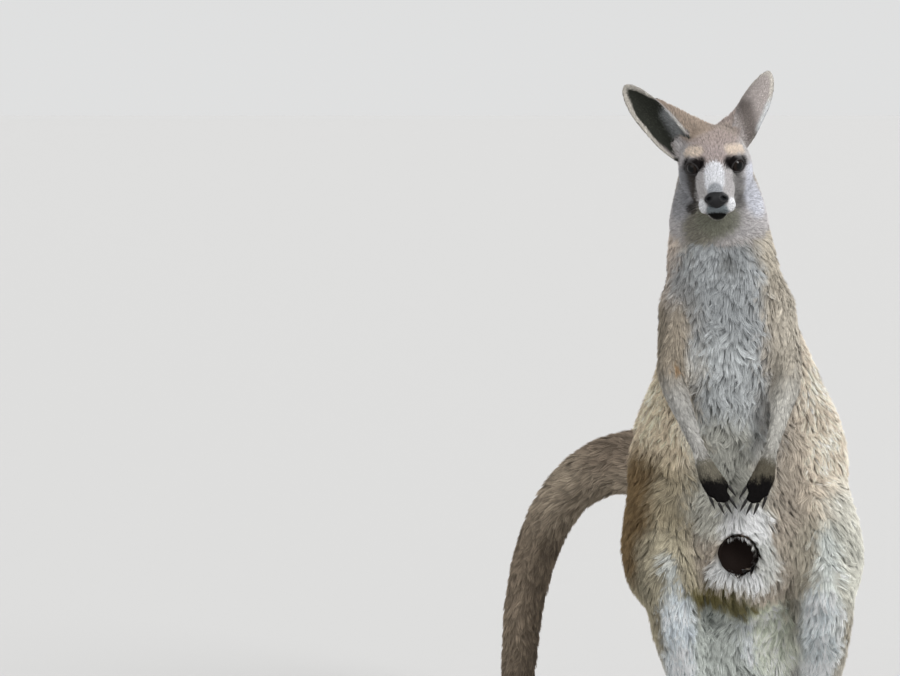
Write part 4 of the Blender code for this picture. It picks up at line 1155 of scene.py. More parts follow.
@dataclass
class CoatPiece:
    """One piece of the coat: tufts of hair on some parts of the body."""

    name: str
    parts: tuple[str, ...]
    seed: int
    y_span: Span = WHOLE
    z_span: Span = WHOLE
    clump_tufts: int = 20
    clump_pull: float = 0.62
    clump_gap: float = 0.30
    wander: float = 0.26
    own_wander: float = 0.45
    sweep: float = 0.40
    sweep_size: float = 0.080
    lock_length: Span = (0.80, 1.14)
    tuft_length: Span = (0.78, 1.12)
    lock_rise: Span = (0.85, 1.05)
    lean: float = 0.96
    shade_spread: float = 0.13
    lock_shade: float = 0.8
    drift: float = 0.10
    drift_size: float = 0.11
    shade_limits: Span = (0.45, 1.6)
    # tufts are painted darker at the root and lighter at the tip: partly the hair's own dark roots and
    # pale tips, partly painted shade deep in the coat
    root_shade: float = 0.36
    tip_shade: float = 1.12
    rise_low: float = 0.50
    thin_out: float = 1.0
    sunk: float = 0.0015
    softness: float = 0.60
    patch: float = 0.003
    foot_corners: tuple[Span, ...] = ((-1.0, -0.25), (1.0, -0.25), (0.0, 0.60))
    splay: float = 0.4
    bake_corners: tuple[Span, ...] = ((-0.5, -0.5), (0.5, -0.5), (0.0, -0.3), (0.0, 0.5))

    def grow(self, skin: Skin) -> Object:
        """Grows the tufts and puts them in the scene as one piece.

        Args:
            skin: The skin that they stand on.

        Returns:
            The new object.
        """
        rng = np.random.default_rng(self.seed)
        self.take_roots(skin, rng)
        self.lay(skin, rng)
        self.shade(rng)
        return self.solid()

    def chosen(self, skin: Skin) -> Rows:
        """Finds the skin's triangles that this piece grows on.

        Args:
            skin: The skin.

        Returns:
            The triangles' numbers.
        """
        mine = skin.where([node.startswith(self.parts) for node in skin.flesh])
        middles = skin.points[skin.triangles].mean(1)
        inside = mine[skin.triangles].sum(1) >= 2
        for axis, (low, high) in ((1, self.y_span), (2, self.z_span)):
            inside &= (middles[:, axis] >= low) & (middles[:, axis] < high)
        return np.flatnonzero(inside & ~bare(middles))

    def take_roots(self, skin: Skin, rng: np.random.Generator) -> None:
        """Scatters the roots over the chosen triangles, by area and density.

        Args:
            skin: The skin.
            rng: The piece's random numbers.
        """
        chosen = self.chosen(skin)
        corners = skin.triangles[chosen]
        expected = skin.areas[chosen] * skin.sizes[corners, 3].mean(1) * self.thin_out
        self.count = int(expected.sum())
        edges = np.cumsum(expected) / expected.sum()
        steps = np.arange(self.count) + rng.uniform(0.0, 1.0, self.count)
        pick = np.searchsorted(edges, steps / self.count)
        corners = corners[np.minimum(pick, len(corners) - 1)]
        u, v = rng.uniform(0.0, 1.0, (2, self.count))
        over = u + v > 1.0
        u[over], v[over] = 1.0 - u[over], 1.0 - v[over]
        shares = np.stack([1.0 - u - v, u, v], axis=1)[:, :, None]
        self.roots, normals, lies, self.colours, sizes = (
            (values[corners] * shares).sum(1)
            for values in (skin.points, skin.normals, skin.lies, skin.colours, skin.sizes))
        self.normals = unit(normals)
        self.lies = along(lies, self.normals)
        self.depths, self.lengths, self.widths = sizes[:, 0], sizes[:, 1], sizes[:, 2]

    def lay(self, skin: Skin, rng: np.random.Generator) -> None:
        """Bends the tufts over, draws neighbours together into locks and lets them wander a little.

        Args:
            skin: The skin, which the tips lie close to.
            rng: The piece's random numbers.
        """
        centres = np.sort(rng.choice(self.count, max(self.count // self.clump_tufts, 1), replace=False))
        tree = tree_of(self.roots[centres])
        self.lock = np.array([tree.find(row)[1] for row in self.roots.tolist()])
        lock_turn = rng.normal(0.0, self.wander, len(centres))[self.lock]
        lock_length = rng.uniform(*self.lock_length, len(centres))[self.lock]
        turn = lock_turn + rng.normal(0.0, self.wander * self.own_wander, self.count)
        turn += self.sweep * Ripple(self.sweep_size, self.seed + 1).at(self.roots)
        across = np.cross(self.normals, self.lies)
        self.lies = self.lies * np.cos(turn)[:, None] + across * np.sin(turn)[:, None]
        self.lengths = self.lengths * lock_length * rng.uniform(*self.tuft_length, self.count)
        rise = rng.uniform(self.rise_low, 1.0, self.count)
        rise *= rng.uniform(*self.lock_rise, len(centres))[self.lock]
        own = self.roots + self.lies * self.lengths[:, None] * self.lean
        middle = centres[self.lock]
        shared = own[middle] + (self.roots - self.roots[middle]) * self.clump_gap
        places, normals = skin.nearest(own + (shared - own) * self.clump_pull)
        self.tips = places + normals * (self.depths * rise)[:, None]
        self.roots = self.roots - self.normals * self.sunk

    def shade(self, rng: np.random.Generator) -> None:
        """Varies the colour from lock to lock and from tuft to tuft.

        Args:
            rng: The piece's random numbers.
        """
        count = int(self.lock.max()) + 1
        locks = rng.normal(1.0, self.shade_spread * self.lock_shade, count)[self.lock]
        tufts = rng.normal(1.0, self.shade_spread, self.count)
        drift = 1.0 + self.drift * Ripple(self.drift_size, self.seed + 2).at(self.roots)
        self.tones = np.clip(locks * tufts * drift, *self.shade_limits)

    def solid(self) -> Object:
        """Makes each tuft a thin closed blade of three sides and joins them all.

        Returns:
            The new object.
        """
        side = unit(np.cross(self.normals, self.lies))
        half = (self.widths / 2.0)[:, None]
        rows, bends = [], []
        for sideways, up in self.foot_corners:
            rows.append(self.roots + side * half * sideways + self.normals * half * up)
            bends.append(unit(side * sideways + self.normals * (self.splay + max(up, 0.0))))
        rows, bends = np.stack([*rows, self.tips], axis=1), np.stack([*bends, self.normals], axis=1)
        bends = bends * (1.0 - self.softness) + self.normals[:, None, :] * self.softness
        # the root corners take root_shade, painted shade at the foot of each tuft; the tip takes
        # tip_shade
        tones = self.tones[:, None] * (*[self.root_shade] * len(self.foot_corners), self.tip_shade)
        mesh = blades(self.name, rows.reshape(-1, 3), self.count)
        paint(mesh, np.repeat(self.colours, 4, axis=0) * tones.reshape(-1, 1))
        self.lay_bake_map(mesh)
        mesh.shade_smooth()
        mesh.normals_split_custom_set_from_vertices(unit(bends).reshape(-1, 3).tolist())
        return add_object(self.name, mesh)

    def lay_bake_map(self, mesh: Mesh) -> None:
        """Gives each tuft a small patch of the bake map, where its root lies on the skin laid out flat.

        Args:
            mesh: The joined tufts.
        """
        flat = skin_layout(self.roots, self.normals)
        places = (flat[:, None, :] + np.array(self.bake_corners) * self.patch).reshape(-1, 2)
        index = np.zeros(len(mesh.loops), np.int32)
        mesh.loops.foreach_get("vertex_index", index)
        layer = mesh.uv_layers.new(name=BAKE_MAP)
        layer.uv.foreach_set("vector", places[index].astype(np.float32).ravel())


def skin_layout(points: Rows, normals: Rows) -> Rows:
    """Lays the skin of one part out flat, as the six sides of a box side by side.

    Args:
        points: Places on the part.
        normals: The skin's normals there, which choose the side.

    Returns:
        A place in the unit square for each point.
    """
    low, high = points.min(0), points.max(0)
    share = (points - low) / (high - low).max()
    axis = np.abs(normals).argmax(1)
    forward = np.take_along_axis(normals, axis[:, None], 1)[:, 0] > 0.0
    first = np.where(axis == 0, share[:, 1], share[:, 0])
    second = np.where(axis == 2, share[:, 1], share[:, 2])
    column, row = axis / 3.0, np.where(forward, 0.5, 0.0)
    corner = np.stack([column, row], axis=1) + SIDE_MARGIN
    return corner + np.stack([first, second], axis=1) * SIDE_SHARE


def blades(name: str, points: Rows, count: int) -> Mesh:
    """Joins many like blades, each of three corners at the root and one at the tip, into one mesh.

    Args:
        name: The mesh's name.
        points: All corners, blade after blade.
        count: How many blades.

    Returns:
        The joined mesh.
    """
    faces = np.array([(0, 2, 1), (0, 1, 3), (1, 2, 3), (2, 0, 3)])
    index = (faces[None, :, :] + (np.arange(count) * 4)[:, None, None]).reshape(-1, 3)
    mesh = bpy.data.meshes.new(name)
    mesh.vertices.add(len(points))
    mesh.vertices.foreach_set("co", points.astype(np.float32).ravel())
    mesh.loops.add(index.size)
    mesh.loops.foreach_set("vertex_index", index.astype(np.int32).ravel())
    mesh.polygons.add(len(index))
    mesh.polygons.foreach_set("loop_start", np.arange(0, index.size, 3, dtype=np.int32))
    mesh.update(calc_edges=True)
    return mesh


def bare(points: Rows) -> Rows:
    """Finds where no hair grows: nose pad, openings of the eyes, edge of the lips, inside of the pouch.

    Args:
        points: The places.

    Returns:
        Whether each place is bare.
    """
    local = HEAD.inwards(points)
    none = np.linalg.norm(from_middle(NOSE, local), axis=1) < NOSE.bare_share
    for crease in MOUTH[:2]:
        none |= crease.cover(local) > 0.5 * crease.strength
    for side in Side:
        share, distance = EYE.seen_from(side, points)
        none |= (share < EYE.bare_share) & (distance < EYE.radius * EYE.bare_reach)
    across, deep, up = from_middle(POUCH, points).T
    return none | ((np.hypot(across, up) < 1.0) & (np.abs(deep) < POUCH.bare_depth))


@dataclass(frozen=True)
class Pouch:
    """The hollow of the pouch, which has no coat inside."""

    middle: Triple = (0.0848, -0.3600, 0.4310)
    radii: Triple = (0.0350, 0.0560, 0.0330)
    bare_depth: float = 1.2


POUCH = Pouch()
MOUTH = [
    crease
    for line in (
        Mark((0.0, -0.094, -0.0575), (0.019, -0.078, -0.0608), 0.0004, 0.003,
             (0.0, 0.0, 0.0), 0.0026),
        Mark((0.019, -0.078, -0.0608), (0.031, -0.042, -0.0675), 0.0003, 0.003,
             (0.0, 0.0, 0.0), 0.0018),
    )
    for crease in both_sides(line)
]


# ---------------------------------------------------------------- finishes


@dataclass
class Wiring:
    """A tree of shader nodes, filled one node after another."""

    tree: NodeTree

    @staticmethod
    def fill(node: Node, **values: float) -> None:
        """Sets a node's sockets, each named with an underline for a space."""
        for socket, value in values.items():
            node.inputs[socket.replace("_", " ")].default_value = value

    def add(self, kind: str, **values: float) -> Node:
        """Adds a node.

        Args:
            kind: The node's kind.
            values: A value for each socket that needs one.

        Returns:
            The new node.
        """
        node = self.tree.nodes.new(f"ShaderNode{kind}")
        self.fill(node, **values)
        return node

    def add_range(self, source: Span, target: Span) -> Node:
        """Adds a node that takes one range of values to another."""
        sides = {"From_Min": source[0], "From_Max": source[1], "To_Min": target[0], "To_Max": target[1]}
        return self.add("MapRange", **sides)

    def join(self, output: NodeSocket, target: NodeSocket) -> None:
        """Leads one node's output into another's input."""
        self.tree.links.new(output, target)

    def noise(self, scale: float, detail: float) -> NodeSocket:
        """Adds a noise pattern that is fixed to the piece.

        Args:
            scale: How fine it is.
            detail: How many finer patterns lie over it.

        Returns:
            Its output, from 0 to 1.
        """
        noise = self.add("TexNoise", Scale=scale, Detail=detail)
        self.join(self.add("TexCoord").outputs["Object"], noise.inputs["Vector"])
        return noise.outputs["Fac"]

    def own_colour(self) -> NodeSocket:
        """Reads the colour that is stored with the piece.

        Returns:
            The colour.
        """
        own = self.add("Attribute")
        own.attribute_name = COLOUR_ATTRIBUTE
        return own.outputs["Color"]


class Surface(Wiring):
    """The nodes of one material, round its shader."""

    def __init__(self, name: str, roughness: float, specular: float = 0.5) -> None:
        """Starts the material with its gloss.

        Args:
            name: The material's name.
            roughness: How matt it is, from 0 to 1.
            specular: How strongly it mirrors, from 0 to 1.
        """
        self.material = bpy.data.materials.new(name)
        self.material.use_nodes = True
        super().__init__(self.material.node_tree)
        self.shader = self.tree.nodes["Principled BSDF"]
        self.fill(self.shader, Roughness=roughness, Specular_IOR_Level=specular)

    def colour(self, output: NodeSocket) -> None:
        """Takes the surface's colour from another node."""
        self.join(output, self.shader.inputs["Base Color"])

    def bump(self, height: NodeSocket, strength: float, depth: float) -> None:
        """Roughens the surface by a height.

        Args:
            height: The height.
            strength: How strongly it shows, from 0 to 1.
            depth: How deep it is, in metres.
        """
        bump = self.add("Bump", Strength=strength, Distance=depth)
        self.join(height, bump.inputs["Height"])
        self.join(bump.outputs["Normal"], self.shader.inputs["Normal"])


@dataclass(frozen=True)
class HairFinish:
    """Matt hair that takes its colour from the piece itself, broken up by fine streaks."""

    name: str
    roughness: float = 0.72
    specular: float = 0.05
    fleck_scale: float = 650.0
    fleck_from: Span = (0.25, 0.75)
    fleck_to: Span = (0.84, 1.14)
    bump: float = 0.0
    bump_depth: float = 0.0015

    def material(self) -> Material:
        """Builds the material.

        Returns:
            The new material.
        """
        surface = Surface(self.name, self.roughness, self.specular)
        noise = surface.noise(self.fleck_scale, 3.0)
        spread = surface.add_range(self.fleck_from, self.fleck_to)
        surface.join(noise, spread.inputs["Value"])
        tint = surface.add("VectorMath")
        tint.operation = "SCALE"
        surface.join(surface.own_colour(), tint.inputs[0])
        surface.join(spread.outputs["Result"], tint.inputs["Scale"])
        surface.colour(tint.outputs["Vector"])
        if self.bump:
            surface.bump(noise, self.bump, self.bump_depth)
        return surface.material


@dataclass(frozen=True)
class HornFinish:
    """Dark horn or bare skin: one deep colour, faint blotches and a fine grain."""

    name: str
    dark: Triple
    light: Triple
    roughness: float
    specular: float = 0.30
    scale: float = 420.0
    blend: Span = (0.35, 0.75)
    bump: float = 0.25
    depth: float = 0.0008

    def material(self) -> Material:
        """Builds the material.

        Returns:
            The new material.
        """
        surface = Surface(self.name, self.roughness, self.specular)
        noise = surface.noise(self.scale, 4.0)
        blend = surface.add("ValToRGB")
        for stop, place, colour in zip(blend.color_ramp.elements, self.blend, (self.dark, self.light)):
            stop.position = place
            stop.color = (*colour, 1.0)
        surface.join(noise, blend.inputs["Fac"])
        surface.colour(blend.outputs["Color"])
        surface.bump(noise, self.bump, self.depth)
        return surface.material


@dataclass(frozen=True)
class EyeFinish:
    """A wet dark eye: black pupil, deep brown iris and dark outer ring, in the piece's own colours."""

    name: str = "wet_dark_eye"
    roughness: float = 0.05
    specular: float = 0.14

    def material(self) -> Material:
        """Builds the material.

        Returns:
            The new material.
        """
        surface = Surface(self.name, self.roughness, self.specular)
        surface.colour(surface.own_colour())
        return surface.material


@dataclass(frozen=True)
class FloorFinish:
    """A plain pale floor."""

    name: str = "pale_floor"
    colour: Triple = (0.53, 0.527, 0.522)
    roughness: float = 0.85

    def material(self) -> Material:
        """Builds the material.

        Returns:
            The new material.
        """
        surface = Surface(self.name, self.roughness)
        surface.fill(surface.shader, Base_Color=(*self.colour, 1.0))
        return surface.material


# ---------------------------------------------------------------- eyes and lids


@dataclass(frozen=True)
class Eye:
    """An eyeball and its lids, in the head's own frame. Offset and gaze are those of the left eye."""

    offset: Triple = (0.0325, -0.0095, 0.0020)
    gaze: Triple = (0.62, -0.78, 0.04)
    radius: float = 0.0168
    cornea: float = 0.0009
    pupil: float = 0.42
    iris: float = 0.80
    iris_edge: float = 0.8
    pupil_edge: Span = (1.15, 0.85)
    ball_faces: tuple[int, int] = (48, 40)
    bare_share: float = 1.10
    bare_reach: float = 1.5
    outer_width: float = math.radians(46.0)
    inner_width: float = math.radians(50.0)
    upper_height: float = math.radians(37.0)
    lower_height: float = math.radians(33.0)
    corner_drop: float = math.radians(9.0)
    drop_end: float = 1.5
    lid_columns: int = 64
    lid_rows: tuple[tuple[float, float], ...] = (
        (0.99, -0.0012),
        (0.94, 0.0003),
        (0.97, 0.0012),
        (1.03, 0.0019),
        (1.10, 0.0021),
        (1.17, 0.0015),
        (1.23, 0.0000),
        (1.27, -0.0020),
    )
    iris_brown: Triple = (0.009, 0.005, 0.0035)
    pupil_black: Triple = (0.002, 0.002, 0.002)
    ring_black: Triple = (0.004, 0.003, 0.003)

    def centre(self, side: Side) -> Vector:
        """The middle of the eyeball."""
        return HEAD.matrix() @ side.own(self.offset)

    def axes(self, side: Side) -> tuple[Vector, Vector, Vector]:
        """Three directions: out of the eye, towards its outer corner, and up.

        Args:
            side: Which eye.

        Returns:
            The three directions, at right angles.
        """
        turn = HEAD.matrix().to_3x3()
        out = (turn @ side.own(self.gaze)).normalized()
        up = turn @ Vector((0.0, 0.0, 1.0))
        up = (up - out * up.dot(out)).normalized()
        aside = up.cross(out) * side.sign
        return out, aside, up

    def ball(self, side: Side) -> Object:
        """Makes the eyeball, its pole at the middle of the pupil, which bulges a little.

        Args:
            side: Which eye.

        Returns:
            The new object.
        """
        out, aside, up = self.axes(side)
        shape = bmesh.new()
        around, along_axis = self.ball_faces
        bmesh.ops.create_uvsphere(shape, u_segments=around, v_segments=along_axis, radius=self.radius)
        for vertex in shape.verts:
            polar = math.acos(max(-1.0, min(1.0, vertex.co.z / self.radius)))
            bulge = max(0.0, 1.0 - (polar / self.iris) ** 2) ** 2
            vertex.co *= 1.0 + self.cornea / self.radius * bulge
        turn = Matrix((aside, up, out)).transposed().to_4x4()
        turn = Matrix.Translation(self.centre(side)) @ turn
        bmesh.ops.transform(shape, matrix=turn, verts=shape.verts)
        piece = mesh_object(f"eyeball_{side.value}", shape)
        rows = vertex_rows(piece.data) - np.array(self.centre(side))
        polar = np.arccos(np.clip(unit(rows) @ np.array(out), -1.0, 1.0))
        colours = np.tile(self.ring_black, (len(rows), 1))
        colours = mixed(colours, self.iris_brown, ramp(polar, self.iris, self.iris * self.iris_edge))
        pupil = ramp(polar, *(self.pupil * edge for edge in self.pupil_edge))
        colours = mixed(colours, self.pupil_black, pupil)
        paint(piece.data, colours)
        return piece

    def seen_from(self, side: Side, points: Rows) -> tuple[Rows, Rows]:
        """Tells where points lie as seen from the middle of an eyeball.

        Args:
            side: Which eye.
            points: The places.

        Returns:
            How many times the opening's size each point lies off the gaze, and how far from the middle.
        """
        out, aside, up = (np.array(axis) for axis in self.axes(side))
        rows = points - np.array(self.centre(side))
        distance = np.maximum(np.linalg.norm(rows, axis=1), 1e-6)
        sideways = np.arctan2(rows @ aside, rows @ out)
        lift = np.arcsin(np.clip(rows @ up / distance, -1.0, 1.0))
        across = sideways / np.where(sideways > 0.0, self.outer_width, self.inner_width)
        lift = lift + self.corner_drop * np.clip(-across, 0.0, self.drop_end) ** 2
        upwards = lift / np.where(lift > 0.0, self.upper_height, self.lower_height)
        return np.hypot(across, upwards), distance

    def nearness(self, side: Side, points: Rows, turns: Span, reach: Span) -> Rows:
        """Tells how near points lie to an eye's opening.

        Args:
            side: Which eye.
            points: The places.
            turns: How far off the gaze it starts and where it is full, in sizes of the opening.
            reach: The same for the distance from the eye's middle, in radii.

        Returns:
            A share from 0 to 1 for each point.
        """
        share, distance = self.seen_from(side, points)
        return ramp(share, *turns) * ramp(distance, *(self.radius * limit for limit in reach))

    def lid_direction(self, turn: float, spread: float) -> tuple[float, float]:
        """How far a point round the opening lies from the gaze, when the opening is spread.

        Args:
            turn: The angle round the opening, 0 at the outer corner and a half turn at the inner one.
            spread: How many times the opening's own size.

        Returns:
            The angle sideways and the angle up.
        """
        across, upwards = math.cos(turn) * spread, math.sin(turn) * spread
        sideways = across * (self.outer_width if across > 0.0 else self.inner_width)
        lift = upwards * (self.upper_height if upwards > 0.0 else self.lower_height)
        return sideways, lift - self.corner_drop * max(0.0, -across) ** 2

    def lids(self, side: Side) -> Object:
        """Makes the dark edge of both lids as one rounded ring that sinks into the skin.

        Args:
            side: Which eye.

        Returns:
            The new object.
        """
        out, aside, up = self.axes(side)
        centre = self.centre(side)
        shape = bmesh.new()
        loop = bmesh.ops.create_circle(shape, segments=self.lid_columns, radius=1.0)["verts"]
        loops = [loop]
        edges = list(shape.edges)
        for _ in self.lid_rows[1:]:
            made = bmesh.ops.extrude_edge_only(shape, edges=edges)["geom"]
            fresh = {part for part in made if isinstance(part, bmesh.types.BMVert)}
            made_edges = (part for part in made if isinstance(part, bmesh.types.BMEdge))
            edges = [edge for edge in made_edges if set(edge.verts) <= fresh]
            ends = ([edge.other_vert(corner) for edge in corner.link_edges] for corner in loop)
            loop = [next(end for end in around if end in fresh) for around in ends]
            loops.append(loop)
        for (spread, height), loop in zip(self.lid_rows, loops):
            for number, vertex in enumerate(loop):
                sideways, lift = self.lid_direction(2.0 * math.pi * number / self.lid_columns, spread)
                level = out * math.cos(sideways) + aside * math.sin(sideways)
                way = level * math.cos(lift) + up * math.sin(lift)
                vertex.co = centre + way * (self.radius + height)
        closing = [edge for edge in shape.edges if edge.is_boundary]
        bmesh.ops.bridge_loops(shape, edges=closing)
        return mesh_object(f"lids_{side.value}", shape)


EYE = Eye()


@dataclass
class Eyes:
    """Both eyes with their lids."""

    ball_finish: EyeFinish = field(default_factory=EyeFinish)
    lid_finish: HornFinish = field(default_factory=lambda: HornFinish(
        "dark_lid_skin", (0.006, 0.005, 0.005), (0.020, 0.016, 0.015), 0.50, scale=900.0, bump=0.35))

    def build(self) -> None:
        eye_material, lid_material = self.ball_finish.material(), self.lid_finish.material()
        for side in Side:
            declare(EYE.ball(side), eye_material, "eye", f"eye_{side.value}")
            declare(EYE.lids(side), lid_material, "coat")


# ---------------------------------------------------------------- nose and whiskers


@dataclass(frozen=True)
class Nose:
    """The bare nose pad with its two nostrils, in the head's own frame."""

    middle: Triple = (0.0, -0.0915, -0.0312)
    radii: Triple = (0.0208, 0.0148, 0.0152)
    bare_share: float = 0.98
    faces: tuple[int, int] = (96, 72)
    taper: float = 0.58
    taper_power: float = 1.3
    nostril: Triple = (0.0128, -0.1015, -0.0270)
    nostril_radius: float = 0.0056
    nostril_depth: float = 0.0085
    nostril_slant: float = 0.55
    groove_width: float = 0.0020
    groove_depth: float = 0.0020
    rim_place: float = 1.25
    rim_width: float = 0.30
    rim_height: float = 0.0009
    groove_top: float = 0.3
    finish: HornFinish = HornFinish(
        "nose_leather", (0.003, 0.003, 0.004), (0.014, 0.014, 0.015), 0.50,
        specular=0.25, scale=1300.0, bump=0.7)

    def build(self) -> None:
        shape = bmesh.new()
        around, along_axis = self.faces
        bmesh.ops.create_uvsphere(shape, u_segments=around, v_segments=along_axis, radius=1.0)
        for vertex in shape.verts:
            vertex.co = self.moulded(vertex.co)
        axes = {f"use_axis_{axis}": True for axis in "xyz"}
        bmesh.ops.smooth_vert(shape, verts=shape.verts, factor=0.5, **axes)
        bmesh.ops.transform(shape, matrix=HEAD.matrix(), verts=shape.verts)
        declare(mesh_object("nose_pad", shape), self.finish.material(), "coat")

    def moulded(self, point: Vector) -> Vector:
        """Turns a point of the unit ball into one of the nose pad.

        Args:
            point: The point on the ball.

        Returns:
            Its place in the head's frame.
        """
        narrow = 1.0 - self.taper * max(0.0, -point.z) ** self.taper_power
        wide, deep, high = self.radii
        place = Vector((point.x * wide * narrow, point.y * deep, point.z * high)) + Vector(self.middle)
        for side in Side:
            gap = place - side.own(self.nostril)
            gap.x += side.sign * self.nostril_slant * gap.z
            gap.y *= 0.5
            share = max(0.0, 1.0 - gap.length / self.nostril_radius)
            place.y += self.nostril_depth * share * share * (3.0 - 2.0 * share)
            rim = math.exp(-((gap.length / self.nostril_radius - self.rim_place) / self.rim_width) ** 2)
            place.y -= self.rim_height * rim * max(0.0, -point.y)
        if point.y < 0.0:
            share = max(0.0, 1.0 - abs(place.x) / self.groove_width)
            place.y += self.groove_depth * (share * max(0.0, min(1.0, self.groove_top - point.z)))
        return place


NOSE = Nose()


@dataclass
class Whiskers:
    """Fine stiff hairs on the lips, each a thin tapering stem."""

    count: int = 13
    sides: int = 4
    steps: int = 7
    radius: float = 0.00034
    length: float = 0.030
    seed: int = 71
    front: Triple = (0.0175, -0.086, -0.040)
    run: Triple = (0.009, 0.026, -0.012)
    scatter: Span = (-0.001, 0.001)
    outwards: Span = (0.75, 1.0)
    forwards: float = -0.45
    fan: float = 0.7
    upwards: Span = (-0.45, 0.10)
    lengths: Span = (0.6, 1.1)
    droop: Triple = (0.0, 0.12, -0.55)
    stagger: int = 5
    taper: float = 0.9
    taper_growth: float = 0.4
    least_taper: float = 0.3
    finish: HornFinish = field(default_factory=lambda: HornFinish(
        "whisker", (0.05, 0.045, 0.04), (0.16, 0.15, 0.14), 0.45, scale=200.0, bump=0.0))

    def build(self) -> None:
        """Makes, dresses and declares all whiskers as one piece."""
        rng = np.random.default_rng(self.seed)
        shape = bmesh.new()
        for side in Side:
            for number in range(self.count):
                share = number / (self.count - 1)
                root = side.own((
                    self.front[0] + self.run[0] * share + rng.uniform(*self.scatter),
                    self.front[1] + self.run[1] * share,
                    self.front[2] + self.run[2] * ((number * self.stagger) % self.count) / self.count,
                ))
                way = side.own((
                    rng.uniform(*self.outwards),
                    self.forwards + self.fan * share,
                    rng.uniform(*self.upwards),
                ))
                self.stem(shape, root, way.normalized(), self.length * rng.uniform(*self.lengths))
        bmesh.ops.transform(shape, matrix=HEAD.matrix(), verts=shape.verts)
        declare(mesh_object("whiskers", shape), self.finish.material(), "coat")

    def stem(self, shape: bmesh.types.BMesh, root: Vector, way: Vector, length: float) -> None:
        """Draws out one whisker, which droops towards its tip.

        Args:
            shape: The bmesh that it is added to.
            root: Where it starts.
            way: Which way it starts.
            length: How long it is.
        """
        turn = way.to_track_quat("Z", "Y").to_matrix().to_4x4()
        start = Matrix.Translation(root) @ turn
        made = bmesh.ops.create_circle(
            shape, cap_ends=True, segments=self.sides, radius=self.radius, matrix=start)
        face = made["verts"][0].link_faces[0]
        step = length / self.steps
        for number in range(self.steps):
            face = self.drawn(shape, face)
            droop = Vector(self.droop) * (number / self.steps) ** 2
            bmesh.ops.translate(shape, vec=(way + droop).normalized() * step, verts=face.verts)
            shrink = 1.0 - self.taper / self.steps * (1.0 + self.taper_growth * number / self.steps)
            middle = face.calc_center_median()
            for vertex in face.verts:
                vertex.co = middle + (vertex.co - middle) * max(shrink, self.least_taper)

    @staticmethod
    def drawn(shape: bmesh.types.BMesh, face: bmesh.types.BMFace) -> bmesh.types.BMFace:
        """Extrudes a face.

        Args:
            shape: The bmesh that holds it.
            face: The face, which goes.

        Returns:
            The new face.
        """
        made = bmesh.ops.extrude_face_region(shape, geom=[face])["geom"]
        fresh = next(part for part in made if isinstance(part, bmesh.types.BMFace))
        if face.is_valid:
            bmesh.ops.delete(shape, geom=[face], context="FACES_ONLY")
        return fresh


# ---------------------------------------------------------------- claws


@dataclass
class Claws:
    """Black horn claws on hands and feet, each on the place of its own solid."""

    finish: HornFinish = field(default_factory=lambda: HornFinish(
        "black_horn", (0.004, 0.004, 0.004), (0.020, 0.017, 0.015), 0.42, scale=260.0, bump=0.2))

    def build(self) -> None:
        """Makes, dresses and declares every claw."""
        material = self.finish.material()
        for node in sorted(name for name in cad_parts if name.startswith("claw")):
            piece = mesh_object(f"horn_{node}", solid_of(node))
            rounding = piece.modifiers.new("round", "SUBSURF")
            rounding.levels = 2
            rounding.render_levels = 2
            declare(piece, material, "claw", node)


# ---------------------------------------------------------------- coat


@dataclass
class Coat:
    """The whole coat, in pieces that part at the brow, along the flanks and at the waist."""

    finish: HairFinish = field(default_factory=lambda: HairFinish("hair"))
    pieces: tuple[CoatPiece, ...] = (
        CoatPiece("coat_face", ("head",), 11, y_span=(-FAR, BROW_Y), wander=0.14, sweep=0.10,
                  clump_tufts=7, clump_pull=0.30, shade_spread=0.10, root_shade=0.62, tip_shade=1.06),
        CoatPiece("coat_crown", ("head",), 22, y_span=(BROW_Y, FAR), wander=0.18, sweep=0.15,
                  clump_tufts=9, clump_pull=0.40, shade_spread=0.12, root_shade=0.52, tip_shade=1.08,
                  thin_out=0.88),
        CoatPiece("coat_ears", ("ear",), 12, wander=0.16, sweep=0.10, clump_tufts=9,
                  clump_pull=0.35, shade_spread=0.16, root_shade=0.55),
        CoatPiece("coat_neck", ("neck",), 13),
        # the chest and belly get the darkest roots, as painted shade in the gaps between their locks
        CoatPiece("coat_chest", ("trunk",), 14, y_span=(-FAR, FLANK_Y), z_span=(WAIST_Z, FAR),
                  sweep=0.65, sweep_size=0.055, clump_pull=0.7, shade_spread=0.18, root_shade=0.20,
                  softness=0.5, thin_out=1.45),
        CoatPiece("coat_belly", ("trunk",), 15, y_span=(-FAR, FLANK_Y), z_span=(-FAR, WAIST_Z),
                  sweep=0.50, shade_spread=0.16, root_shade=0.28, softness=0.5, thin_out=1.10),
        CoatPiece("coat_back", ("trunk",), 16, y_span=(FLANK_Y, FAR), thin_out=0.54),
        CoatPiece("coat_arms", ("upper_arm", "forearm"), 17, wander=0.18, sweep=0.2, root_shade=0.45,
                  rise_low=0.4),
        CoatPiece("coat_hands_and_feet", ("hand", "foot"), 18, wander=0.16, sweep=0.1, clump_pull=0.3,
                  root_shade=0.55, thin_out=0.80),
        CoatPiece("coat_thigh_right", ("thigh_right",), 19),
        CoatPiece("coat_thigh_left", ("thigh_left",), 23),
        # the shins' roots and tips are painted lighter, as painted light against the shade among their
        # tufts
        CoatPiece("coat_shins", ("shin",), 20, wander=0.14, sweep=0.15, clump_tufts=10, clump_pull=0.4,
                  root_shade=0.60, tip_shade=1.25),
        CoatPiece("coat_tail", ("tail",), 21, wander=0.2, sweep=0.2, shade_spread=0.2, thin_out=0.85),
    )

    def build(self, skin: Skin) -> None:
        """Grows, dresses and declares every piece of the coat.

        Args:
            skin: The skin that it grows on.
        """
        material = self.finish.material()
        for part in self.pieces:
            piece = part.grow(skin)
            declare(piece, material, "coat")
            LOG.info("%s: %d tufts, %d triangles", part.name, part.count, len(piece.data.polygons))


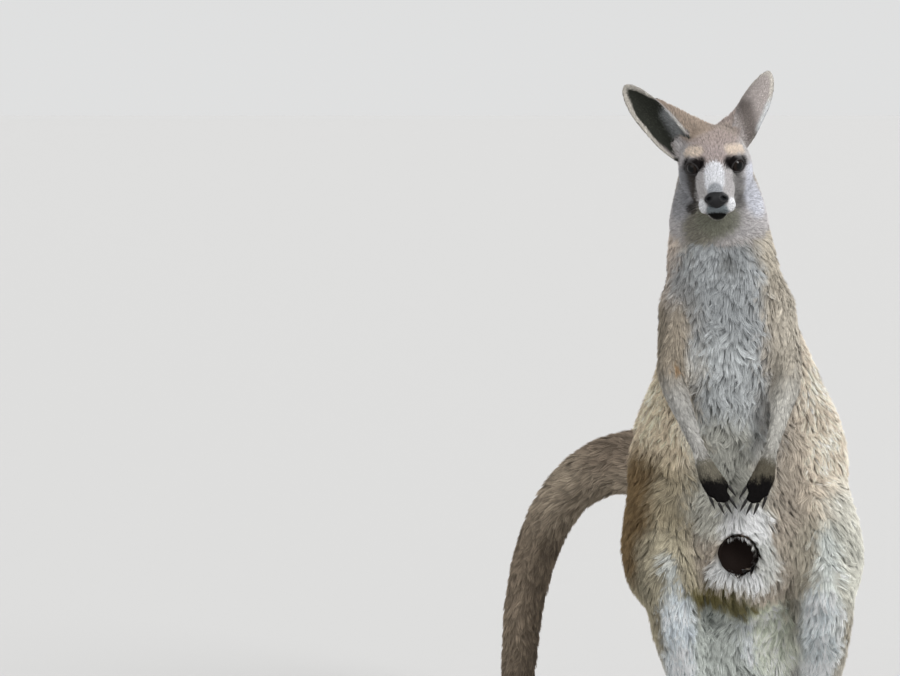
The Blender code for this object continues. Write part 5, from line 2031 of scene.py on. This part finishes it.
def declare(piece: Object, material: Material, slot: str, *nodes: str) -> None:
    """Dresses a piece, fixes it to the body, and hides the solids that it replaces.

    Args:
        piece: The new piece.
        material: Its finish.
        slot: Not used.
        nodes: The solids that it takes the place of.
    """
    piece.data.materials.append(material)
    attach(piece, BODY)
    if nodes:
        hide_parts(*nodes)
    LOG.info("made %s", piece.name)


# ---------------------------------------------------------------- room, lights and camera


@dataclass
class Studio:
    """A plain pale floor, soft light and the camera."""

    floor_reach: float = 75.0
    heights: Span = (0.0, 0.5)
    brightness: Span = (0.745, 0.64)
    air: Triple = (0.995, 1.0, 1.0)
    lens: float = 160.0
    sensor_width: float = 36.0
    sight: float = 200.0
    eye: Triple = (-0.4127, -7.2432, 1.30)
    aim: Triple = (-0.4127, -0.2432, 0.79975)
    suns: tuple[tuple[str, Triple, float, float], ...] = (
        ("key", (3.4, -4.2, 4.2), 2.60, math.radians(26.0)),
        ("fill", (-4.0, -4.0, 2.6), 0.75, math.radians(50.0)),
        ("back", (3.5, 3.5, 4.0), 0.90, math.radians(30.0)),
    )
    target: Triple = (0.06, -0.2, 0.7)

    def build(self) -> None:
        """Sets the whole room up."""
        self.floor()
        for name, place, strength, softness in self.suns:
            self.light(name, place, strength, softness)
        scene = bpy.context.scene
        scene.world = self.world()
        scene.view_settings.view_transform = "Standard"
        self.camera()

    def world(self) -> World:
        """Makes the light of the room, a little brighter low down, where it meets the floor's own tone.

        Returns:
            The new world.
        """
        world = bpy.data.worlds.new("studio")
        world.use_nodes = True
        air = Wiring(world.node_tree)
        split = air.add("SeparateXYZ")
        tone = air.add_range(self.heights, self.brightness)
        background = air.tree.nodes["Background"]
        air.join(air.add("TexCoord").outputs["Generated"], split.inputs["Vector"])
        air.join(split.outputs["Z"], tone.inputs["Value"])
        air.join(tone.outputs["Result"], background.inputs["Strength"])
        air.fill(background, Color=(*self.air, 1.0))
        return world

    def floor(self) -> None:
        """Lays the floor."""
        shape = bmesh.new()
        bmesh.ops.create_grid(shape, x_segments=2, y_segments=2, size=self.floor_reach)
        floor = mesh_object("floor", shape)
        floor.data.materials.append(FloorFinish().material())

    def light(self, name: str, place: Triple, strength: float, softness: float) -> None:
        """Hangs one far-off soft light that faces the animal.

        Args:
            name: The light's name.
            place: The direction that it shines from.
            strength: Its strength.
            softness: The angle across it.
        """
        lamp = bpy.data.lights.new(name, "SUN")
        lamp.energy = strength
        lamp.angle = softness
        self.aimed(add_object(name, lamp), place, self.target)

    def camera(self) -> None:
        """Places the camera."""
        data = bpy.data.cameras.new("camera")
        data.lens = self.lens
        data.sensor_width = self.sensor_width
        data.clip_end = self.sight
        camera = add_object("camera", data)
        self.aimed(camera, self.eye, self.aim)
        bpy.context.scene.camera = camera

    @staticmethod
    def aimed(piece: Object, place: Triple, target: Triple) -> None:
        """Puts a lamp or the camera at a place and turns it towards its target."""
        piece.location = place
        piece.rotation_euler = (Vector(target) - Vector(place)).to_track_quat("-Z", "Y").to_euler()


def main() -> None:
    """Builds the animal and the room round it."""
    logging.basicConfig(level=logging.INFO, format="%(message)s")
    skin = Skin().build()
    undercoat = HairFinish("skin", fleck_scale=500.0, bump=0.6)
    declare(skin.piece, undercoat.material(), "coat", *skin.flesh)
    LOG.info("skin: %d triangles", len(skin.triangles))
    Eyes().build()
    NOSE.build()
    Whiskers().build()
    Claws().build()
    Coat().build(skin)
    Studio().build()


if __name__ == "__main__":
    main()
